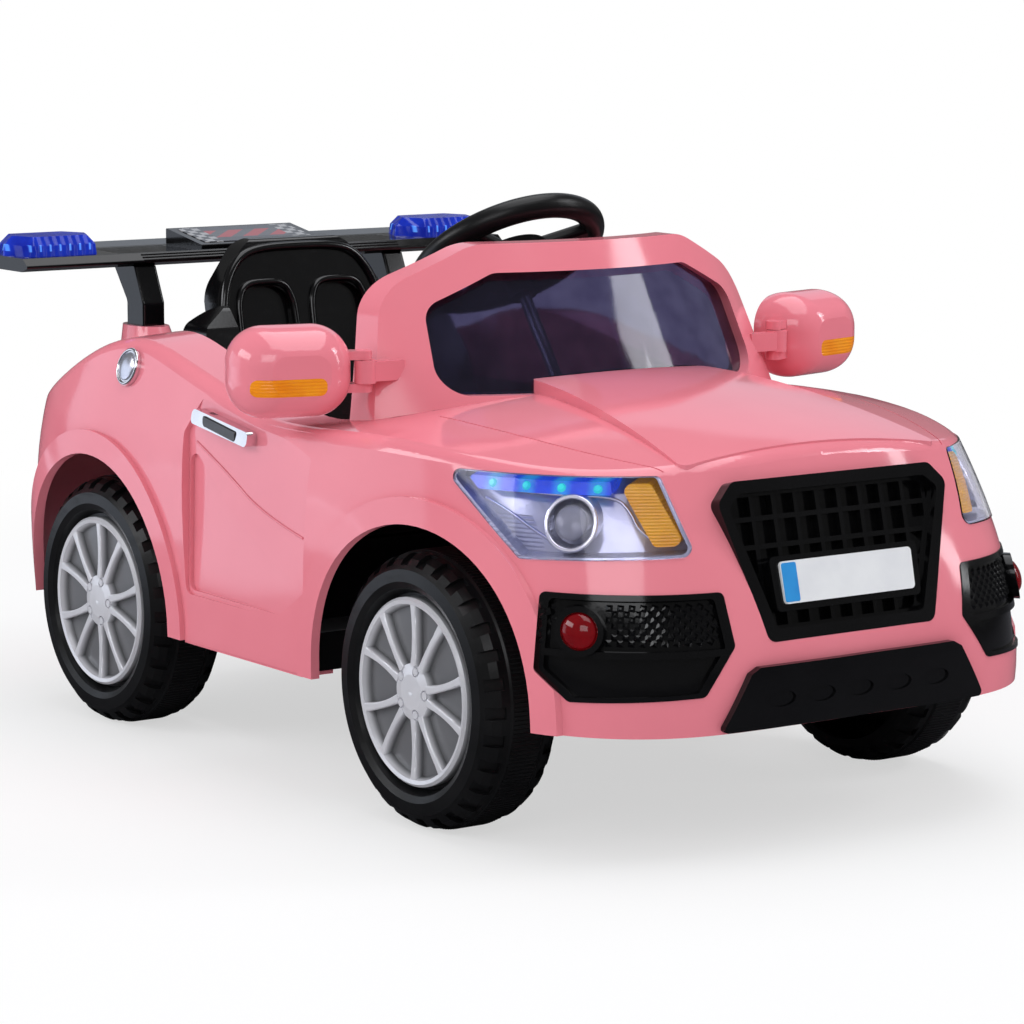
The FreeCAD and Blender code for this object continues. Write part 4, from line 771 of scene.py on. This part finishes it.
def as_mesh(name, curve):
    """A thickened curve becomes a plain mesh piece."""
    holder = bpy.data.objects.new(name, curve)
    bpy.context.scene.collection.objects.link(holder)
    mesh = bpy.data.meshes.new_from_object(holder.evaluated_get(bpy.context.evaluated_depsgraph_get()))
    bpy.data.objects.remove(holder)
    piece = bpy.data.objects.new(name, mesh)
    bpy.context.scene.collection.objects.link(piece)
    mesh.materials.clear()
    return piece


def ring_on(name, node, middle, out, radius, thick, finish, body):
    tree, (side, up) = face_of(node), across_of(out)
    curve = bpy.data.curves.new(name, "CURVE")
    curve.dimensions = "3D"
    curve.bevel_depth, curve.bevel_resolution = thick, 3
    line = curve.splines.new("NURBS")
    line.points.add(35)
    for k, point in enumerate(line.points):
        a = math.tau * k / 36
        spot = middle + (side * math.cos(a) + up * math.sin(a)) * radius
        point.co = (*landing(tree, spot, out), 1.0)
    line.order_u = 4
    line.use_cyclic_u = True
    return keep(as_mesh(name, curve), finish, body)


def dome_on(name, node, middle, out, radius, height, finish, body):
    tree, (side, up) = face_of(node), across_of(out)
    spots, faces, rings, steps = [], [], 9, 40
    for i in range(rings):
        lift = math.sin(math.pi / 2 * i / rings)
        share = math.cos(math.pi / 2 * i / rings)
        for k in range(steps):
            a = math.tau * k / steps
            foot = landing(tree, middle + (side * math.cos(a) + up * math.sin(a)) * radius, out)
            if i == 0:
                foot = foot - out * 0.0008
            centre = landing(tree, middle, out)
            spots.append(centre + (foot - centre) * share + out * height * lift)
    top = len(spots)
    spots.append(landing(tree, middle, out) + out * height)
    for i in range(rings - 1):
        for k in range(steps):
            n = (k + 1) % steps
            faces.append((i * steps + k, i * steps + n, (i + 1) * steps + n, (i + 1) * steps + k))
    for k in range(steps):
        faces.append(((rings - 1) * steps + k, (rings - 1) * steps + (k + 1) % steps, top))
    faces.append(tuple(range(steps - 1, -1, -1)))
    mesh = bpy.data.meshes.new(name)
    mesh.from_pydata(spots, [], faces)
    piece = bpy.data.objects.new(name, mesh)
    bpy.context.scene.collection.objects.link(piece)
    return keep(piece, finish, body)


def bead_on(name, node, path, out, thick, finish, body):
    """A thin round line along a face, under the points of a path."""
    tree = face_of(node)
    curve = bpy.data.curves.new(name, "CURVE")
    curve.dimensions = "3D"
    curve.bevel_depth, curve.bevel_resolution = thick, 2
    curve.use_fill_caps = True
    line = curve.splines.new("NURBS")
    line.points.add(len(path) - 1)
    for point, spot in zip(line.points, path):
        point.co = (*landing(tree, spot, out), 1.0)
    line.order_u = 3
    line.use_endpoint_u = True
    return keep(as_mesh(name, curve), finish, body)


print("ring and dome helpers ready")

# %% [markdown]
# ## Rings and domes of the lamps
# The projector in each headlamp has a plated ring and a clear dome, and each fog lamp a red dome.
# Both are laid on their housings by the helpers above.

# %% Lamp rings and domes
PROJECTOR_EYE = (0.432, 0.232, 0.291)
projector = lens("projector", (0.62, 0.64, 0.72), (0.5, 0.52, 0.62), 0.55, 0.05)
for side, sign in SIGNS:
    out = corner_aim(LAMP_ANGLE, sign)
    eye = on_side(PROJECTOR_EYE, sign)
    ring_on("lamp_ring_" + side, "headlamp_housing_" + side, eye, out, 0.022, 0.0021, bright_plate, "car_body")
    dome_on("projector_" + side, "headlamp_bulbs", eye, out, 0.0142, 0.0055, projector, "car_body")
    out = corner_aim(FOG_ANGLE, sign)
    dome_on("fog_dome_" + side, "fog_lenses", on_side(FOG_LAMP, sign), out, 0.0155, 0.009, red_dome, "car_body")

# %% [markdown]
# ## Trim lines
# A bright line sweeps round the reflector, and a soft crease runs down each door from the handle
# to the front arch. Both follow a face, so they are thin lines laid on it point by point.

# %% Trim lines
LAMP_SWEEP = ((0.34, 0.24, 0.312), (0.4, 0.206, 0.313), (0.432, 0.183, 0.311), (0.445, 0.176, 0.298),
              (0.455, 0.175, 0.282), (0.468, 0.162, 0.272))
LAMP_EDGE = ((0.33, 0.247, 0.303), (0.356, 0.241, 0.295), (0.385, 0.234, 0.279), (0.412, 0.222, 0.267))
DOOR_CREASE = ((-0.088, 0.3, 0.31), (-0.03, 0.3, 0.288), (0.035, 0.3, 0.257), (0.112, 0.3, 0.243))
for side, sign in SIGNS:
    for name, path in (("lamp_sweep_", LAMP_SWEEP), ("lamp_edge_", LAMP_EDGE)):
        spots = [on_side(spot, sign) for spot in path]
        bead_on(name + side, "headlamp_housing_" + side, spots, corner_aim(LAMP_ANGLE, sign), 0.0016, lamp_silver,
                "car_body")
    crease = [on_side(spot, sign) for spot in DOOR_CREASE]
    bead_on("door_crease_" + side, "body_shell", crease, Vector((0.0, sign, 0.0)), 0.0013, pink_gloss, "car_body")
print("trim lines laid")

# %% [markdown]
# ## Rolled edges of the seat
# The seat back is a thin moulding, so the edge of its crown and the mouths of its two channels are
# rolled over. A thick line half sunk in the face gives each of them a round lip that catches light.

# %% Seat lips
SEAT_LEAN = math.atan2(64.0, 278.0)
SEAT_FOOT = Vector((-0.314, 0.0, 0.206))
seat_up = Vector((-math.sin(SEAT_LEAN), 0.0, math.cos(SEAT_LEAN)))
seat_out = Vector((math.cos(SEAT_LEAN), 0.0, math.sin(SEAT_LEAN)))
HALF_MOUTH = ((0.0365, 0.05), (0.036, 0.12), (0.0345, 0.19), (0.0335, 0.212), (0.024, 0.229), (0.0, 0.2305))
HALF_CROWN = ((0.099, 0.19), (0.096, 0.215), (0.086, 0.24), (0.07, 0.259), (0.046, 0.266), (0.0, 0.267))


def seat_line(half, middle):
    """A path on the seat back from half of its outline, its places given across and up."""
    whole = [(-across, up) for across, up in half] + [(across, up) for across, up in reversed(half[:-1])]
    return [SEAT_FOOT + seat_up * up + Vector((0.0, middle + across, 0.0)) for across, up in whole]


SEAT_LIPS = (("seat_mouth_right", HALF_MOUTH, -0.045, 0.0042), ("seat_crown", HALF_CROWN, 0.0, 0.005),
             ("seat_mouth_left", HALF_MOUTH, 0.045, 0.0042))
for name, half, middle, thick in SEAT_LIPS:
    bead_on(name, "seat", seat_line(half, middle), seat_out, thick, seat_black, "car_body")
print("seat lips laid")

# %% [markdown]
# ## Ribs on the wing's nose
# Three thin ribs stiffen the front edge of the wing between its posts. They run straight across, so
# each needs only a few points to follow the slanting face.

# %% Wing ribs
WING_RIBS = ((-0.4145, 0.4548), (-0.4179, 0.4574), (-0.4213, 0.46))
WING_NOSE_OUT = Vector((0.6, 0.0, 0.8))
for row, (x, z) in enumerate(WING_RIBS):
    rib = [Vector((x, y, z)) for y in (-0.16, -0.05, 0.05, 0.16)]
    bead_on("wing_rib_" + str(row), "spoiler_wing", rib, WING_NOSE_OUT, 0.001, black_gloss, "car_body")
print("wing ribs laid")

# %% [markdown]
# ## The filler cap
# A round plated cap with a raised ring and a slightly domed middle, as a car's fuel filler has.

# %% Filler cap
CAP_LEAN = math.radians(20.0)
cap_out = Vector((0.0, -math.cos(CAP_LEAN), math.sin(CAP_LEAN)))
cap_spot = Vector((-0.226, -0.280, 0.366))
ring_on("filler_ring", "fuel_cap", cap_spot, cap_out, 0.0172, 0.0016, bright_plate, "car_body")
dome_on("filler_dome", "fuel_cap", cap_spot, cap_out, 0.0145, 0.003, lamp_silver, "car_body")
print("filler cap done")

# %% [markdown]
# ## Flat plates
# The number plate, the sign and the handle's dark inset are thin sheets with rounded corners. One
# function draws such a sheet in a plane that is given by its middle and two directions.

# %% Sheets
def rounded_outline(wide, tall, radius, steps=5):
    points = []
    for cx, cy, start in ((1, 1, 0), (-1, 1, 90), (-1, -1, 180), (1, -1, 270)):
        for k in range(steps + 1):
            a = math.radians(start + 90.0 * k / steps)
            points.append((cx * (wide / 2 - radius) + radius * math.cos(a),
                           cy * (tall / 2 - radius) + radius * math.sin(a)))
    return points


def sheet_piece(name, middle, across, up, wide, tall, radius, thick, finish, body):
    across, up = Vector(across).normalized(), Vector(up).normalized()
    out = across.cross(up)
    outline = rounded_outline(wide, tall, radius)
    shrunk = rounded_outline(wide - thick, tall - thick, radius)
    count = len(outline)
    spots = []
    for loop, lift in ((outline, 0.0), (outline, thick * 0.5), (shrunk, thick)):
        spots += [Vector(middle) + across * u + up * v + out * lift for u, v in loop]
    faces = [tuple(range(count - 1, -1, -1)), tuple(range(2 * count, 3 * count))]
    for level in (0, count):
        for k in range(count):
            n = (k + 1) % count
            faces.append((level + k, level + n, level + count + n, level + count + k))
    mesh = bpy.data.meshes.new(name)
    mesh.from_pydata(spots, [], faces)
    piece = bpy.data.objects.new(name, mesh)
    bpy.context.scene.collection.objects.link(piece)
    piece.data.materials.append(finish)
    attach(piece, body)
    return piece


print("sheet helper ready")

# %% [markdown]
# ## Handle insets
# A dark grip is let into each plated handle. Its ends are found by rays, so it lies in the handle's
# own slope on both sides of the car.

# %% Handle insets
HANDLE_REAR = (-0.054, 0.3, 0.3335)
HANDLE_FORE = (0.0, 0.3, 0.3255)
INSET_SINK = 0.0004
grips = face_of("door_handles")
for side, sign in SIGNS:
    out = Vector((0.0, sign, 0.0))
    rear = landing(grips, on_side(HANDLE_REAR, sign), out)
    fore = landing(grips, on_side(HANDLE_FORE, sign), out)
    along = fore - rear if sign < 0 else rear - fore
    middle = (rear + fore) / 2 - out * INSET_SINK
    sheet_piece("handle_inset_" + side, middle, along, UPRIGHT, 0.062, 0.0105, 0.003, 0.0014, horn_black, "car_body")
print("handle insets placed")

# %% [markdown]
# ## The strip on the number plate
# A blue strip stands at one end of the plate. The plate leans with the nose, so the strip is placed
# in the nose's own directions.

# %% Number plate strip
NOSE_LEAN = math.atan2(34.0, 138.0)
nose_out = Vector((math.cos(NOSE_LEAN), 0.0, math.sin(NOSE_LEAN)))
nose_up = Vector((-math.sin(NOSE_LEAN), 0.0, math.cos(NOSE_LEAN)))
nose_middle = Vector((0.512, 0.0, 0.257))


def on_plate(y, z, lift):
    return nose_middle + nose_out * lift + nose_up * z + Vector((0.0, y, 0.0))


sheet_piece("plate_strip", on_plate(-0.0655, -0.0215, 0.0105), ACROSS, nose_up, 0.0165, 0.034, 0.002, 0.0006,
            plate_blue, "car_body")
print("plate strip placed")

# %% [markdown]
# ## The sign on the wing
# The sign is a printed card in a black frame. The print is a plain racing pattern: chequers at the
# ends, slanting bands between. It is painted by place, so no picture is needed.

# %% Sign print
SIGN_MIDDLE = (-0.4735, 0.0, 0.4725)
SIGN_RED = (0.3, 0.012, 0.02, 1.0)
SIGN_GREY = (0.05, 0.05, 0.06, 1.0)
CHEQUERS_FROM_Y = 0.046
BANDS_HALF = 0.014
sign_print = moulded("sign_print", (0.02, 0.02, 0.03), (0.03, 0.03, 0.045), 0.28, 0.3, (600.0, 0.02), 30.0, 0.05)
tree = sign_print.node_tree
flat = fill(add_node(tree, "ShaderNodeMapping"), Scale=(1.0, 1.0, 0.0))
tree.links.new(add_node(tree, "ShaderNodeTexCoord").outputs["Object"], flat.inputs["Vector"])
squares = fill(add_node(tree, "ShaderNodeTexChecker"), Scale=110.0, Color1=(0.3, 0.3, 0.31, 1.0),
               Color2=(0.02, 0.02, 0.025, 1.0))
tree.links.new(flat.outputs[0], squares.inputs["Vector"])
axes = add_node(tree, "ShaderNodeSeparateXYZ")
tree.links.new(flat.outputs[0], axes.inputs[0])
slant = maths(tree, "ADD", maths(tree, "MULTIPLY", axes.outputs["X"], 34.0),
              maths(tree, "MULTIPLY", axes.outputs["Y"], 30.0))
band = maths(tree, "GREATER_THAN", maths(tree, "FRACT", slant), 0.55)
bands = blend_colours(tree, band, SIGN_RED, SIGN_GREY)
ends = maths(tree, "GREATER_THAN", maths(tree, "ABSOLUTE", axes.outputs["Y"]), CHEQUERS_FROM_Y)
from_middle = maths(tree, "SUBTRACT", axes.outputs["X"], SIGN_MIDDLE[0])
core = maths(tree, "LESS_THAN", maths(tree, "ABSOLUTE", from_middle), BANDS_HALF)
ground = blend_colours(tree, core, tree.nodes["skin"].outputs["Colour"], bands)
tree.links.new(blend_colours(tree, ends, ground, squares.outputs["Color"]),
               tree.nodes["Principled BSDF"].inputs["Base Color"])
slope = Vector((-0.075, 0.0, 0.013)).normalized()
sheet_piece("sign_card", SIGN_MIDDLE, ACROSS, slope, 0.138, 0.06, 0.003, 0.0008, sign_print, "car_body")
print("sign card placed")
